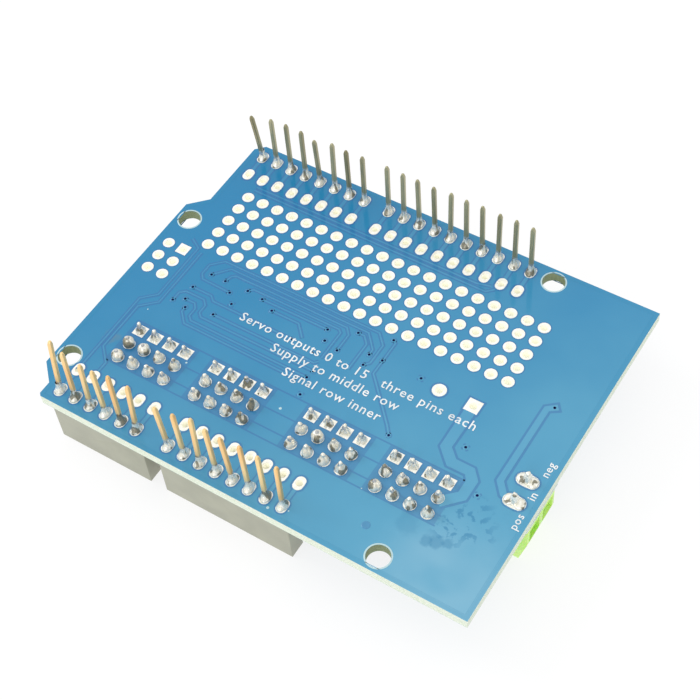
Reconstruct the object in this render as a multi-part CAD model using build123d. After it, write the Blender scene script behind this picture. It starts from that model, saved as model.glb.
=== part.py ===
from build123d import *
import os

# Servo driver board: a shield that stacks on a microcontroller board by its long-pinned headers.
#
# Everything is drawn as the board is used, with the component side up: x runs from the edge
# that overhangs the USB socket, y from the edge with the power header, and z = 0 is the
# component face. write_nodes turns the whole board over, because it is stored lying on the
# mouths of its stacking headers with the solder side up.

# ---------------------------------------------------------------- board
BOARD_LENGTH = 68.58        # nominal outline, to the tip of the far tab
BOARD_WIDTH = 53.34
BOARD_THICKNESS = 1.6
ROUTER_MARGIN = 0.4         # the cut edge runs this far inside the nominal outline
TAB_DEPTH = 2.54            # the far end has a tab that stands this far out
TAB_START = 5.08            # the tab's near end, from the power edge
TAB_END = 15.494            # the tab's far end, from the digital edge
DIGITAL_CORNER = 1.524      # 45 degree cut at the corner by the digital header
POWER_CORNER = 0.6          # the small one at the power edge
COPPER = 0.04               # thickness of a tinned land above the board
PLATING = 0.05              # wall of a plated hole
PITCH = 2.54                # 0.1 inch grid

# ---------------------------------------------------------------- mounting holes
BOLT_HOLE = 3.2
BOLT_FROM_EDGE = 2.54       # all four sit this far from their nearest edge
POWER_BOLT_X = 13.97        # from the USB edge
DIGITAL_BOLT_X = 15.24
TAB_BOLT_NEAR = 7.62        # from the power edge
TAB_BOLT_FAR = 17.78        # from the digital edge

# ---------------------------------------------------------------- stacking headers
HEADER_HEIGHT = 8.5         # component face to the mouths
HEADER_WIDTH = 2.5
HEADER_FOOT = 0.35          # length of the foot at each end of a body
HEADER_LIFT = 0.15          # the feet hold the body this far off the board
HEADER_END_GAP = 0.04       # a body is this much shorter than its pins' pitch lengths
HEADER_FROM_EDGE = 2.54     # pin row, from the digital or power edge
FIRST_PIN = 5.08            # first pin of each row, from the tab's tip
DIGITAL_LOW_PINS = 8
DIGITAL_HIGH_PINS = 10
ANALOG_PINS = 6
POWER_PINS = 8
DIGITAL_GAP = 4.064         # the odd step between the two digital headers
POWER_GAP = 5.08            # the step between the analog and power headers
SECOND_ROW = 3.81           # spare row of holes, inboard of the pins
PIN = 0.64                  # square pin
PIN_ROOM = 0.095            # finished hole over the pin's diagonal
PIN_HOLE = round(PIN * 2 ** 0.5 + PIN_ROOM, 3)
PIN_TAIL = 9.3              # long pins, beyond the solder face
PIN_TAPER = 0.6
PIN_POINT = 0.3             # width left at the tip of a tapered pin
PIN_FIT = 0.05              # all round a pin, in plastic
SOCKET_FLOOR = 0.7
SOCKET_ROOM = 0.1           # round a contact, in its socket
CONTACT_GAP = 0.05          # under a contact's seat
SOCKET_MOUTH = 1.5
MOUTH_DEPTH = 0.5
SPRING_THICKNESS = 0.2
SPRING_WIDTH = 0.9
SPRING_ROOM = 0.06          # springs' gap over the width of the pin that they grip
SPRING_GAP = PIN + SPRING_ROOM
SPRING_LENGTH = 5.6
CONTACT_SEAT = 0.5

# ---------------------------------------------------------------- hole and land sizes
SPARE_HOLE = 0.9
GRID_LAND = 1.83
PIN_LAND = 1.78
OVAL_LAND = (1.52, 2.16)
TERMINAL_LAND = (3.175, 2.03)
CAPACITOR_LAND = 2.06
GRID_COLUMNS = 20
GRID_ROWS = 5
GRID_FIRST_COLUMN = 7.62    # from the tab's tip
GRID_FIRST_ROW = 10.16      # from the digital edge
PROGRAMMING_Y = 27.94       # middle row of the 2 by 3 programming pads
CAPACITOR_PITCH = 5.08
CAPACITOR_X = 17.272        # middle of the spare capacitor's pads, from the USB edge
CAPACITOR_Y = 27.432

HEADER_SOLDER = 1.1         # height of the solder round a long pin
SERVO_SOLDER = 1.2
TERMINAL_SOLDER = 1.0
SOLDER_EDGE = 0.1           # bare land left round the solder
HEADER_NECK = 0.68          # width of each fillet's top, as a share of its base
SERVO_NECK = 0.6
TERMINAL_NECK = 0.45

# ---------------------------------------------------------------- servo outputs
SERVO_COLUMNS = 4
SERVO_GROUPS = (8.509, 21.209, 36.449, 49.149)   # first column of each, from the tab's tip
SERVO_SIGNAL_Y = 15.748     # the three rows, from the power edge
STRIP_HEIGHT = 2.5
STRIP_WIDTH = 2.5
STRIP_NOTCH = 0.4
MOUTH_CLEARANCE = 0.2       # the servo pins stop this far short of the headers' mouths
SERVO_PIN_TOP = HEADER_HEIGHT - MOUTH_CLEARANCE
SERVO_PIN_TAIL = 1.7        # beyond the solder face

# ---------------------------------------------------------------- power terminal block
TERMINAL_PITCH = 3.5
TERMINAL_X = 3.378          # pins, from the USB edge
TERMINAL_Y = 19.228         # middle of the block
TERMINAL_DEPTH = 6.5
TERMINAL_HEIGHT = 8.2
TERMINAL_SIDE = 0.45        # outer side wall
TERMINAL_FACE = 3.9         # height at which the wire face starts to lean back
TERMINAL_LEAN = 1.1
TERMINAL_PIN = (0.9, 0.7)
TERMINAL_PIN_HOLE = 1.2
TERMINAL_PIN_TAIL = 1.9
CLAMP_WIDTH = 2.6           # across the wire
CLAMP_LENGTH = 2.6          # along the wire
CLAMP_WALL = 0.35
CLAMP_FLOOR = 0.5
CLAMP_NUT = 1.0             # height of the threaded top
CLAMP_REST = 1.0            # clamp's floor above the board when it is fully open
CLAMP_TRAVEL = 1.41
CLAMP_FIT = 0.1             # clamp to housing, each side
WIRE_ROOM = 2.2             # height of the open wire space
BAR_THICKNESS = 0.5         # contact bar, inside the clamp
BAR_FIT = 0.12              # bar to clamp wall
BAR_TO_NUT = 0.2
CONTACT_FOOT = 0.3          # underside of the contact's foot above the board
LEG_FIT = 0.3               # clamp to the contact's back leg
SCREW_SHANK = 1.9
SCREW_FIT = 0.05            # radial, in the clamp
SCREW_HEAD = 2.4
SCREW_HEAD_HEIGHT = 1.0
SCREW_WELL_FIT = 0.1        # radial, round the head
SCREW_SLOT = (0.5, 0.5)     # width and depth
SCREW_GAP = 0.05            # end play at the head and at the tip
WELL_LIP = 0.2              # ring that keeps the head in
WIRE_MOUTH = 0.25           # flare all round the wire entry
WIRE_MOUTH_DEPTH = 0.5
SIDE_GROOVE = (1.2, 0.3)    # width and depth of the dovetail groove for a neighbour block

# ---------------------------------------------------------------- surface parts
CHIP = (4.4, 9.7, 1.0)
CHIP_PINS = 14
CHIP_PITCH = 0.65
CHIP_LEAD = (0.25, 0.13)    # width and thickness
CHIP_X = 33.02              # from the USB edge
CHIP_Y = 25.4
TRANSISTOR = (3.9, 4.9, 1.4)
TRANSISTOR_PINS = 4
TRANSISTOR_PITCH = 1.27
TRANSISTOR_LEAD = (0.42, 0.2)
TRANSISTOR_X = 11.43
TRANSISTOR_Y = 23.4
LEAD_REACH = 1.0            # foot of a lead beyond its body
LEAD_FOOT = 0.6
STANDOFF = 0.1              # gap under a moulded body
BODY_DRAFT = 0.12           # chamfer along a moulded body's upper edges
LAND_MARGIN = 0.1           # a land is this much larger than the foot on it
ARRAY = (3.2, 1.6, 0.5)
ARRAY_ENDS = 4
ARRAY_PITCH = 0.8
ARRAY_END = (0.4, 0.3)
ARRAY_FROM_SIGNAL = 4.2     # resistor arrays, inboard of the servo signal row
SMALL_PART = (1.6, 0.8, 0.5)
LARGE_PART = (2.0, 1.25, 0.9)
LED_PART = (2.0, 1.25, 0.45)
LED_LENS = (1.2, 1.05, 0.4)
END_CAP = 0.3
JUMPERS = 6
JUMPER_PITCH = 2.0
JUMPER_LAND = (1.0, 0.8)
JUMPER_GAP = 0.4
JUMPER_X = 47.0             # first address jumper, from the USB edge
JUMPER_Y = 30.6

# ---------------------------------------------------------------- reset button
BUTTON_X = 5.6              # from the USB edge
BUTTON_FROM_EDGE = 6.2      # from the digital edge
BUTTON_SIZE = 6.0
BUTTON_HEIGHT = 2.0         # plastic base
BUTTON_FLOOR = 0.5
BUTTON_WELL = 4.6
BUTTON_COVER = 0.2
BUTTON_TOP = 3.5            # plunger's face above the board
BUTTON_TRAVEL = 0.25
PLUNGER = 3.3
PLUNGER_FIT = 0.1
FLANGE = 4.3
FLANGE_THICKNESS = 0.45
FLANGE_GAP = 0.05
NIB = 1.4
DOME = 4.2
DOME_FLAT = 0.2             # height of the snap disc when it is pressed
DOME_RISE = DOME_FLAT + BUTTON_TRAVEL
DOME_THICKNESS = 0.08
NIB_GAP = 0.05
BUTTON_LEAD = (0.9, 0.2)
BUTTON_LEAD_REACH = 1.0
BUTTON_LEAD_STEP = 4.5

GROWS = (Align.CENTER, Align.CENTER, Align.MIN)
nodes = {}


def add(name, *solids):
    """File solids under the node they belong to."""
    nodes.setdefault(name, []).extend(solids)


def from_usb(distance):
    return distance - BOARD_LENGTH / 2


def from_tab(distance):
    return BOARD_LENGTH / 2 - distance


def from_power(distance):
    return distance - BOARD_WIDTH / 2


def from_digital(distance):
    return BOARD_WIDTH / 2 - distance


def upright(size, bottom=0.0):
    """A box centred on x and y that stands on a height."""
    return Pos(0, 0, bottom) * Box(*size, align=GROWS)


def span(x, y, z):
    """A box given by its two ends on each axis."""
    size = [high - low for low, high in (x, y, z)]
    middle = [(low + high) / 2 for low, high in (x, y, z)]
    return Pos(*middle) * Box(*size)


def centred(count, pitch):
    """Places of evenly spaced things about zero."""
    return [(i - (count - 1) / 2) * pitch for i in range(count)]


# ---------------------------------------------------------------- where the pins and holes are
UPPER_ROW = from_digital(HEADER_FROM_EDGE)
LOWER_ROW = from_power(HEADER_FROM_EDGE)
SECOND_DIGITAL = FIRST_PIN + (DIGITAL_LOW_PINS - 1) * PITCH + DIGITAL_GAP
FIRST_POWER = FIRST_PIN + (ANALOG_PINS - 1) * PITCH + POWER_GAP
HEADERS = {                 # first pin from the tab's tip, row, number of pins
    "digital_header_low": (FIRST_PIN, UPPER_ROW, DIGITAL_LOW_PINS),
    "digital_header_high": (SECOND_DIGITAL, UPPER_ROW, DIGITAL_HIGH_PINS),
    "analog_header": (FIRST_PIN, LOWER_ROW, ANALOG_PINS),
    "power_header": (FIRST_POWER, LOWER_ROW, POWER_PINS),
}


def header_pins(name):
    first, row, count = HEADERS[name]
    return [(from_tab(first + i * PITCH), row) for i in range(count)]


def servo_columns(group):
    return [from_tab(SERVO_GROUPS[group] + i * PITCH) for i in range(SERVO_COLUMNS)]


HEADER_PINS = [pin for name in HEADERS for pin in header_pins(name)]
SECOND_ROW_HOLES = [(x, y - SECOND_ROW if y > 0 else y + SECOND_ROW) for x, y in HEADER_PINS]
GRID_HOLES = [
    (from_tab(GRID_FIRST_COLUMN + i * PITCH), from_digital(GRID_FIRST_ROW + j * PITCH))
    for i in range(GRID_COLUMNS)
    for j in range(GRID_ROWS)
]
PROGRAMMING_HOLES = [
    (from_tab(PITCH * column), from_power(PROGRAMMING_Y + PITCH * row))
    for column in (1, 2)
    for row in (-1, 0, 1)
]
SERVO_ROWS = {
    "signal": from_power(SERVO_SIGNAL_Y),
    "supply": from_power(SERVO_SIGNAL_Y - PITCH),
    "ground": from_power(SERVO_SIGNAL_Y - 2 * PITCH),
}
SERVO_PINS = [
    (x, y) for g in range(len(SERVO_GROUPS)) for x in servo_columns(g) for y in SERVO_ROWS.values()
]
TERMINAL_PINS = [
    (from_usb(TERMINAL_X), from_power(TERMINAL_Y) + side)
    for side in centred(2, TERMINAL_PITCH)
]
CAPACITOR_HOLES = [
    (from_usb(CAPACITOR_X) + side, from_power(CAPACITOR_Y))
    for side in centred(2, CAPACITOR_PITCH)
]
BOLT_HOLES = [
    (from_usb(POWER_BOLT_X), from_power(BOLT_FROM_EDGE)),
    (from_usb(DIGITAL_BOLT_X), from_digital(BOLT_FROM_EDGE)),
    (from_tab(BOLT_FROM_EDGE), from_power(TAB_BOLT_NEAR)),
    (from_tab(BOLT_FROM_EDGE), from_digital(TAB_BOLT_FAR)),
]
DRILLED = [
    (HEADER_PINS, PIN_HOLE),
    (SECOND_ROW_HOLES, SPARE_HOLE),
    (GRID_HOLES, PIN_HOLE),
    (PROGRAMMING_HOLES, PIN_HOLE),
    (SERVO_PINS, PIN_HOLE),
    (TERMINAL_PINS, TERMINAL_PIN_HOLE),
    (CAPACITOR_HOLES, PIN_HOLE),
]


# ---------------------------------------------------------------- board and plated holes
def board_outline():
    """The shield's outline, with the tab at its far end, cut inside the nominal size."""
    shoulder = from_tab(TAB_DEPTH)
    top = from_digital(0)
    points = [
        (from_usb(0), from_power(0)),
        (from_usb(0), top),
        (shoulder - DIGITAL_CORNER, top),
        (shoulder, top - DIGITAL_CORNER),
        (shoulder, from_digital(TAB_END - TAB_DEPTH)),
        (from_tab(0), from_digital(TAB_END)),
        (from_tab(0), from_power(TAB_START)),
        (shoulder, from_power(TAB_START - TAB_DEPTH)),
        (shoulder, from_power(POWER_CORNER)),
        (shoulder - POWER_CORNER, from_power(0)),
    ]
    face = make_face(Polyline(*points, close=True))
    return offset(face, -ROUTER_MARGIN, kind=Kind.INTERSECTION)


def circuit_board():
    """The laminate, drilled for every plated hole and for four bolts."""
    holes = [Pos(x, y) * Circle(BOLT_HOLE / 2) for x, y in BOLT_HOLES]
    for places, finished in DRILLED:
        holes += [Pos(x, y) * Circle(finished / 2 + PLATING) for x, y in places]
    return extrude(board_outline() - holes, -BOARD_THICKNESS)


def eyelet(land, finished):
    """A plated hole: a thin barrel with the same land on both faces."""
    depth = BOARD_THICKNESS + 2 * COPPER
    barrel = Cylinder(finished / 2 + PLATING, depth, align=GROWS)
    lands = extrude(land, COPPER) + Pos(0, 0, depth - COPPER) * extrude(land, COPPER)
    solid = barrel + lands - Cylinder(finished / 2, depth, align=GROWS)
    return Pos(0, 0, -BOARD_THICKNESS - COPPER) * solid.solid()


def plated_holes():
    """Every land and plated barrel, one node for each family of holes."""
    plain = eyelet(Circle(PIN_LAND / 2), PIN_HOLE)
    square = eyelet(Rectangle(PIN_LAND, PIN_LAND), PIN_HOLE)
    grid = eyelet(Circle(GRID_LAND / 2), PIN_HOLE)
    upright_oval = Rot(0, 0, 90) * SlotOverall(OVAL_LAND[1], OVAL_LAND[0])
    header = eyelet(upright_oval, PIN_HOLE)
    spare = eyelet(upright_oval, SPARE_HOLE)
    terminal = eyelet(SlotOverall(*TERMINAL_LAND), TERMINAL_PIN_HOLE)
    capacitor = eyelet(Circle(CAPACITOR_LAND / 2), PIN_HOLE)
    capacitor_square = eyelet(Rectangle(CAPACITOR_LAND, CAPACITOR_LAND), PIN_HOLE)
    add("header_lands", *[Pos(x, y) * header for x, y in HEADER_PINS])
    add("second_row_lands", *[Pos(x, y) * spare for x, y in SECOND_ROW_HOLES])
    add("prototype_lands", *[Pos(x, y) * grid for x, y in GRID_HOLES])
    add("terminal_lands", *[Pos(x, y) * terminal for x, y in TERMINAL_PINS])
    for x, y in PROGRAMMING_HOLES:
        first = (x, y) == PROGRAMMING_HOLES[-1]
        add("programming_lands", Pos(x, y) * (square if first else plain))
    for x, y in SERVO_PINS:
        signal = y == SERVO_ROWS["signal"]
        add("servo_lands", Pos(x, y) * (square if signal else plain))
    near, far = CAPACITOR_HOLES
    add("capacitor_lands", Pos(*near) * capacitor_square, Pos(*far) * capacitor)


# ---------------------------------------------------------------- pins and solder
def square_pin(low, high, width=PIN, depth=PIN, taper_top=False):
    """A rectangular pin from one height to another, tapered at its low end and perhaps its high."""
    shank_low = low + PIN_TAPER
    shank_high = high - PIN_TAPER if taper_top else high
    pin = span((-width / 2, width / 2), (-depth / 2, depth / 2), (shank_low, shank_high))
    ends = [(shank_low, -1)] + ([(shank_high, 1)] if taper_top else [])
    for height, way in ends:
        wide = Pos(0, 0, height) * Rectangle(width, depth)
        scale = PIN_POINT / width
        narrow = Pos(0, 0, height + way * PIN_TAPER) * Rectangle(width * scale, depth * scale)
        pin += loft([wide, narrow])
    return pin.solid()


def solder_joint(base_x, base_y, height, pin_x, pin_y, neck):
    """A fillet of solder on the solder face, drawn up round its pin."""
    face = -BOARD_THICKNESS - COPPER
    wide = Pos(0, 0, face) * Ellipse(base_x / 2, base_y / 2)
    narrow = Pos(0, 0, face - height) * Ellipse(neck * base_x / 2, neck * base_x / 2)
    cone = loft([wide, narrow])
    hole = span((-pin_x / 2, pin_x / 2), (-pin_y / 2, pin_y / 2), (face - 2 * height, face + 1))
    return (cone - hole).solid()


def solder():
    header_base = [size - SOLDER_EDGE for size in OVAL_LAND]
    servo_base = [PIN_LAND - SOLDER_EDGE] * 2
    terminal_base = [size - SOLDER_EDGE for size in TERMINAL_LAND]
    long_pin = solder_joint(*header_base, HEADER_SOLDER, PIN, PIN, HEADER_NECK)
    servo = solder_joint(*servo_base, SERVO_SOLDER, PIN, PIN, SERVO_NECK)
    terminal = solder_joint(*terminal_base, TERMINAL_SOLDER, *TERMINAL_PIN, TERMINAL_NECK)
    add("header_solder", *[Pos(x, y) * long_pin for x, y in HEADER_PINS])
    add("servo_solder", *[Pos(x, y) * servo for x, y in SERVO_PINS])
    add("terminal_solder", *[Pos(x, y) * terminal for x, y in TERMINAL_PINS])


# ---------------------------------------------------------------- stacking headers
def header_contact():
    """One long pin and the two springs that grip a pin from the next board up."""
    seat = HEADER_LIFT + SOCKET_FLOOR + CONTACT_GAP
    pin = square_pin(-BOARD_THICKNESS - PIN_TAIL, seat + CONTACT_SEAT / 2)
    pair = SPRING_GAP + 2 * SPRING_THICKNESS
    base = upright((SPRING_WIDTH, pair, CONTACT_SEAT), seat)
    spring = upright((SPRING_WIDTH, SPRING_THICKNESS, SPRING_LENGTH), seat)
    offset_y = (SPRING_GAP + SPRING_THICKNESS) / 2
    return (pin + base + Pos(0, offset_y) * spring + Pos(0, -offset_y) * spring).solid()


def header_socket():
    """What one contact's socket takes out of a header body."""
    floor = HEADER_LIFT + SOCKET_FLOOR
    pair = SPRING_GAP + 2 * SPRING_THICKNESS + 2 * SOCKET_ROOM
    cell = upright((SPRING_WIDTH + 2 * SOCKET_ROOM, pair, HEADER_HEIGHT - floor), floor)
    pin_way = upright((PIN + 2 * PIN_FIT, PIN + 2 * PIN_FIT, floor))
    wide = Pos(0, 0, HEADER_HEIGHT) * Rectangle(SOCKET_MOUTH, SOCKET_MOUTH)
    narrow = Pos(0, 0, HEADER_HEIGHT - MOUTH_DEPTH) * Rectangle(SPRING_WIDTH, SPRING_WIDTH)
    return cell + pin_way + loft([narrow, wide])


def header_body(count):
    """A plain block on two low feet, so that it clears the lands under it."""
    length = count * PITCH - HEADER_END_GAP
    block = upright((length, HEADER_WIDTH, HEADER_HEIGHT - HEADER_LIFT), HEADER_LIFT)
    for way in (-1, 1):
        foot = upright((HEADER_FOOT, HEADER_WIDTH, HEADER_LIFT))
        block += Pos(way * (length - HEADER_FOOT) / 2) * foot
    socket = header_socket()
    return (block - [Pos(x) * socket for x in centred(count, PITCH)]).solid()


def stacking_headers():
    contact = header_contact()
    for name, (_, row, count) in HEADERS.items():
        pins = header_pins(name)
        middle = (pins[0][0] + pins[-1][0]) / 2
        add(name, Pos(middle, row) * header_body(count))
        add(name + "_contacts", *[Pos(x, y) * contact for x, y in pins])


# ---------------------------------------------------------------- servo headers
def header_strip(count):
    """A breakaway strip of moulded cells, notched between pins, with a hole for each pin."""
    cell = upright((PITCH, STRIP_WIDTH, STRIP_HEIGHT), COPPER)
    cell = chamfer(cell.edges().filter_by(Axis.Z), STRIP_NOTCH)
    hole = upright((PIN, PIN, STRIP_HEIGHT), COPPER)
    strip = Pos(centred(count, PITCH)[0], 0) * (cell - hole)
    for x in centred(count, PITCH)[1:]:
        strip += Pos(x, 0) * (cell - hole)
    return strip.solid()


def servo_headers():
    """Four blocks of four outputs: signal, supply and ground rows, each in its own colour."""
    strip = header_strip(SERVO_COLUMNS)
    pin = square_pin(-BOARD_THICKNESS - SERVO_PIN_TAIL, SERVO_PIN_TOP, taper_top=True)
    for group in range(len(SERVO_GROUPS)):
        columns = servo_columns(group)
        middle = (columns[0] + columns[-1]) / 2
        for row, y in SERVO_ROWS.items():
            add(f"servo_{row}_strip_{group + 1}", Pos(middle, y) * strip)
            add(f"servo_pins_{group + 1}", *[Pos(x, y) * pin for x in columns])


# ---------------------------------------------------------------- power terminal block
CLAMP_INSIDE = CLAMP_WIDTH - 2 * CLAMP_WALL
BAR_LOW = CLAMP_REST + CLAMP_FLOOR + WIRE_ROOM
NUT_LOW = BAR_LOW + BAR_THICKNESS + BAR_TO_NUT
NUT_HIGH = NUT_LOW + CLAMP_NUT
HEAD_LOW = NUT_HIGH + CLAMP_TRAVEL + SCREW_GAP
HEAD_HIGH = HEAD_LOW + SCREW_HEAD_HEIGHT
LEG_FRONT = CLAMP_LENGTH / 2 + LEG_FIT


def terminal_screw():
    """A slotted screw that turns in place: its head is kept in the housing, its tip on the bar."""
    shank = Pos(0, 0, BAR_LOW + BAR_THICKNESS + SCREW_GAP)
    length = HEAD_LOW - BAR_LOW - BAR_THICKNESS - SCREW_GAP
    screw = shank * Cylinder(SCREW_SHANK / 2, length, align=GROWS)
    screw += Pos(0, 0, HEAD_LOW) * Cylinder(SCREW_HEAD / 2, SCREW_HEAD_HEIGHT, align=GROWS)
    slot = upright((SCREW_HEAD, SCREW_SLOT[0], SCREW_SLOT[1]), HEAD_HIGH - SCREW_SLOT[1])
    return (screw - slot).solid()


def terminal_clamp():
    """A cage round the wire that the screw draws up, pinching the wire against the bar."""
    height = NUT_HIGH - CLAMP_REST
    cage = upright((CLAMP_LENGTH, CLAMP_WIDTH, height), CLAMP_REST)
    window_height = NUT_LOW - CLAMP_REST - CLAMP_FLOOR
    cage -= upright((CLAMP_LENGTH, CLAMP_INSIDE, window_height), CLAMP_REST + CLAMP_FLOOR)
    cage -= Pos(0, 0, NUT_LOW) * Cylinder(SCREW_SHANK / 2 + SCREW_FIT, CLAMP_NUT, align=GROWS)
    return cage.solid()


def terminal_contact():
    """The fixed bar through the clamp, the leg behind it, and the pin through the board."""
    half = CLAMP_INSIDE / 2 - BAR_FIT
    back = LEG_FRONT + BAR_THICKNESS
    bar = span((-CLAMP_LENGTH / 2, back), (-half, half), (BAR_LOW, BAR_LOW + BAR_THICKNESS))
    leg = span((LEG_FRONT, back), (-half, half), (CONTACT_FOOT, BAR_LOW))
    foot_top = CONTACT_FOOT + BAR_THICKNESS
    foot = span((-TERMINAL_PIN[0] / 2, back), (-half, half), (CONTACT_FOOT, foot_top))
    pin = square_pin(-BOARD_THICKNESS - TERMINAL_PIN_TAIL, foot_top, *TERMINAL_PIN)
    return (bar + leg + foot + pin).solid()


def terminal_housing():
    """Two cells side by side, each with a wire entry in front and a screw well on top."""
    front = ROUTER_MARGIN - TERMINAL_X
    back = front + TERMINAL_DEPTH
    cell_half = CLAMP_WIDTH / 2 + CLAMP_FIT
    half = TERMINAL_PITCH / 2 + cell_half + TERMINAL_SIDE
    profile = Polyline(
        (front, 0), (back, 0), (back, TERMINAL_HEIGHT),
        (front + TERMINAL_LEAN, TERMINAL_HEIGHT), (front, TERMINAL_FACE), close=True)
    housing = extrude(Plane.XZ * make_face(profile), half, both=True)
    cell_front = -TERMINAL_LAND[0] / 2 - CLAMP_FIT
    cell_back = LEG_FRONT + BAR_THICKNESS + CLAMP_FIT
    wire_low = CLAMP_REST + CLAMP_FLOOR
    wire_half = CLAMP_INSIDE / 2 + CLAMP_FIT
    flare = WIRE_MOUTH
    cell = span((cell_front, cell_back), (-cell_half, cell_half), (0, HEAD_LOW))
    entry = span((front, cell_front), (-wire_half, wire_half), (wire_low, BAR_LOW))
    mouth = span(
        (front, front + WIRE_MOUTH_DEPTH),
        (-wire_half - flare, wire_half + flare),
        (wire_low - flare, min(BAR_LOW + flare, TERMINAL_FACE)))
    well_radius = SCREW_HEAD / 2 + SCREW_WELL_FIT
    well_top = HEAD_HIGH + SCREW_GAP
    well = Pos(0, 0, HEAD_LOW) * Cylinder(well_radius, well_top - HEAD_LOW, align=GROWS)
    access = Pos(0, 0, well_top) * Cylinder(
        SCREW_HEAD / 2 - WELL_LIP, TERMINAL_HEIGHT - well_top, align=GROWS)
    for side in centred(2, TERMINAL_PITCH):
        housing -= Pos(0, side) * (cell + entry + mouth + well + access)
    groove_x = (front + back) / 2
    groove = span(
        (groove_x - SIDE_GROOVE[0] / 2, groove_x + SIDE_GROOVE[0] / 2),
        (-half, -half + SIDE_GROOVE[1]),
        (0, TERMINAL_HEIGHT))
    return (housing - groove).solid()


def terminal_block():
    middle = Pos(from_usb(TERMINAL_X), from_power(TERMINAL_Y))
    add("terminal_housing", middle * terminal_housing())
    for number, (x, y) in enumerate(TERMINAL_PINS, start=1):
        add(f"terminal_screw_{number}", Pos(x, y) * terminal_screw())
        add(f"terminal_clamp_{number}", Pos(x, y) * terminal_clamp())
        add(f"terminal_contact_{number}", Pos(x, y) * terminal_contact())


# ---------------------------------------------------------------- surface-mounted parts
def moulded_body(size):
    """A plastic package that stands just clear of the board, its upper edges drafted."""
    body = upright(size, COPPER + STANDOFF)
    return chamfer(body.faces().sort_by(Axis.Z)[-1].edges(), BODY_DRAFT).solid()


def gull_lead(body_half, shoulder, width, thickness):
    """One bent lead that leaves a package along +x at its shoulder and lands on the board."""
    toe = body_half + LEAD_REACH
    heel = toe - LEAD_FOOT
    low = COPPER
    points = [
        (body_half, shoulder), (heel - thickness, shoulder), (heel - thickness, low),
        (toe, low), (toe, low + thickness), (heel, low + thickness),
        (heel, shoulder + thickness), (body_half, shoulder + thickness),
    ]
    profile = make_face(Polyline(*points, close=True))
    return extrude(Plane.XZ * profile, width / 2, both=True).solid()


def leaded_package(name, lead_name, place, size, count, pitch, lead):
    """A package with leads along its two long sides, and the lands that its feet stand on."""
    width, thickness = lead
    add(name, place * moulded_body(size))
    one = gull_lead(size[0] / 2, COPPER + STANDOFF + size[2] / 2, width, thickness)
    land = surface_land(LEAD_FOOT, width)
    land_x = size[0] / 2 + LEAD_REACH - LEAD_FOOT / 2
    for y in centred(count, pitch):
        for turn in (0, 180):
            spot = place * Rot(0, 0, turn)
            add(lead_name, spot * Pos(0, y) * one)
            add("surface_lands", spot * Pos(land_x, y) * land)


def surface_land(length, width):
    return upright((length + LAND_MARGIN, width + LAND_MARGIN, COPPER))


def chip_part(name, place, size):
    """A two-ended chip part: its body, its tinned ends and the lands under them."""
    length, width, height = size
    end_x = (length - END_CAP) / 2
    add(name, place * upright((length - 2 * END_CAP, width, height), COPPER))
    for way in (-1, 1):
        add("chip_part_ends", place * Pos(way * end_x, 0) * upright((END_CAP, width, height), COPPER))
        add("surface_lands", place * Pos(way * end_x, 0) * surface_land(END_CAP, width))


def resistor_array(place):
    """Four resistors in one body, with four ends along each long side."""
    length, width, height = ARRAY
    end_width, end_depth = ARRAY_END
    add("resistor_arrays", place * upright((length, width - 2 * end_depth, height), COPPER))
    for x in centred(ARRAY_ENDS, ARRAY_PITCH):
        for way in (-1, 1):
            y = way * (width - end_depth) / 2
            add("resistor_array_ends", place * Pos(x, y) * upright((end_width, end_depth, height), COPPER))
            add("surface_lands", place * Pos(x, y) * surface_land(end_width, end_depth))


def power_led(place):
    length, width, height = LED_PART
    chip_part("led_base", place, LED_PART)
    add("led_lens", place * upright(LED_LENS, COPPER + height))


SMALL_PLACES = {            # from the USB edge and from the power edge
    "chip_capacitors": [(38.5, 27.2), (27.6, 22.6)],
    "chip_resistors": [(38.5, 24.0), (27.6, 27.2), (8.0, 29.6), (8.0, 32.2)],
}
LARGE_PLACES = [(38.7, 21.0), (18.4, 20.4)]
LED_PLACE = (4.2, 30.9)
FACING_Y = 90               # turned so that its ends face along y


def surface_parts():
    chip = Pos(from_usb(CHIP_X), from_power(CHIP_Y))
    leaded_package("driver_chip", "driver_chip_leads", chip, CHIP, CHIP_PINS, CHIP_PITCH, CHIP_LEAD)
    transistor = Pos(from_usb(TRANSISTOR_X), from_power(TRANSISTOR_Y))
    leaded_package(
        "polarity_transistor", "transistor_leads", transistor,
        TRANSISTOR, TRANSISTOR_PINS, TRANSISTOR_PITCH, TRANSISTOR_LEAD)
    for group in range(len(SERVO_GROUPS)):
        columns = servo_columns(group)
        middle = (columns[0] + columns[-1]) / 2
        resistor_array(Pos(middle, SERVO_ROWS["signal"] + ARRAY_FROM_SIGNAL))
    for name, places in SMALL_PLACES.items():
        for x, y in places:
            chip_part(name, Pos(from_usb(x), from_power(y)) * Rot(0, 0, FACING_Y), SMALL_PART)
    for x, y in LARGE_PLACES:
        chip_part("chip_capacitors", Pos(from_usb(x), from_power(y)), LARGE_PART)
    power_led(Pos(from_usb(LED_PLACE[0]), from_power(LED_PLACE[1])) * Rot(0, 0, FACING_Y))


def address_lands():
    """Pairs of bare lands, to be bridged with solder to choose the board's address."""
    step = (JUMPER_LAND[1] + JUMPER_GAP) / 2
    for i in range(JUMPERS):
        for way in (-1, 1):
            x = from_usb(JUMPER_X + i * JUMPER_PITCH)
            y = from_power(JUMPER_Y) + way * step
            add("address_lands", Pos(x, y) * upright((*JUMPER_LAND, COPPER)))


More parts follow.
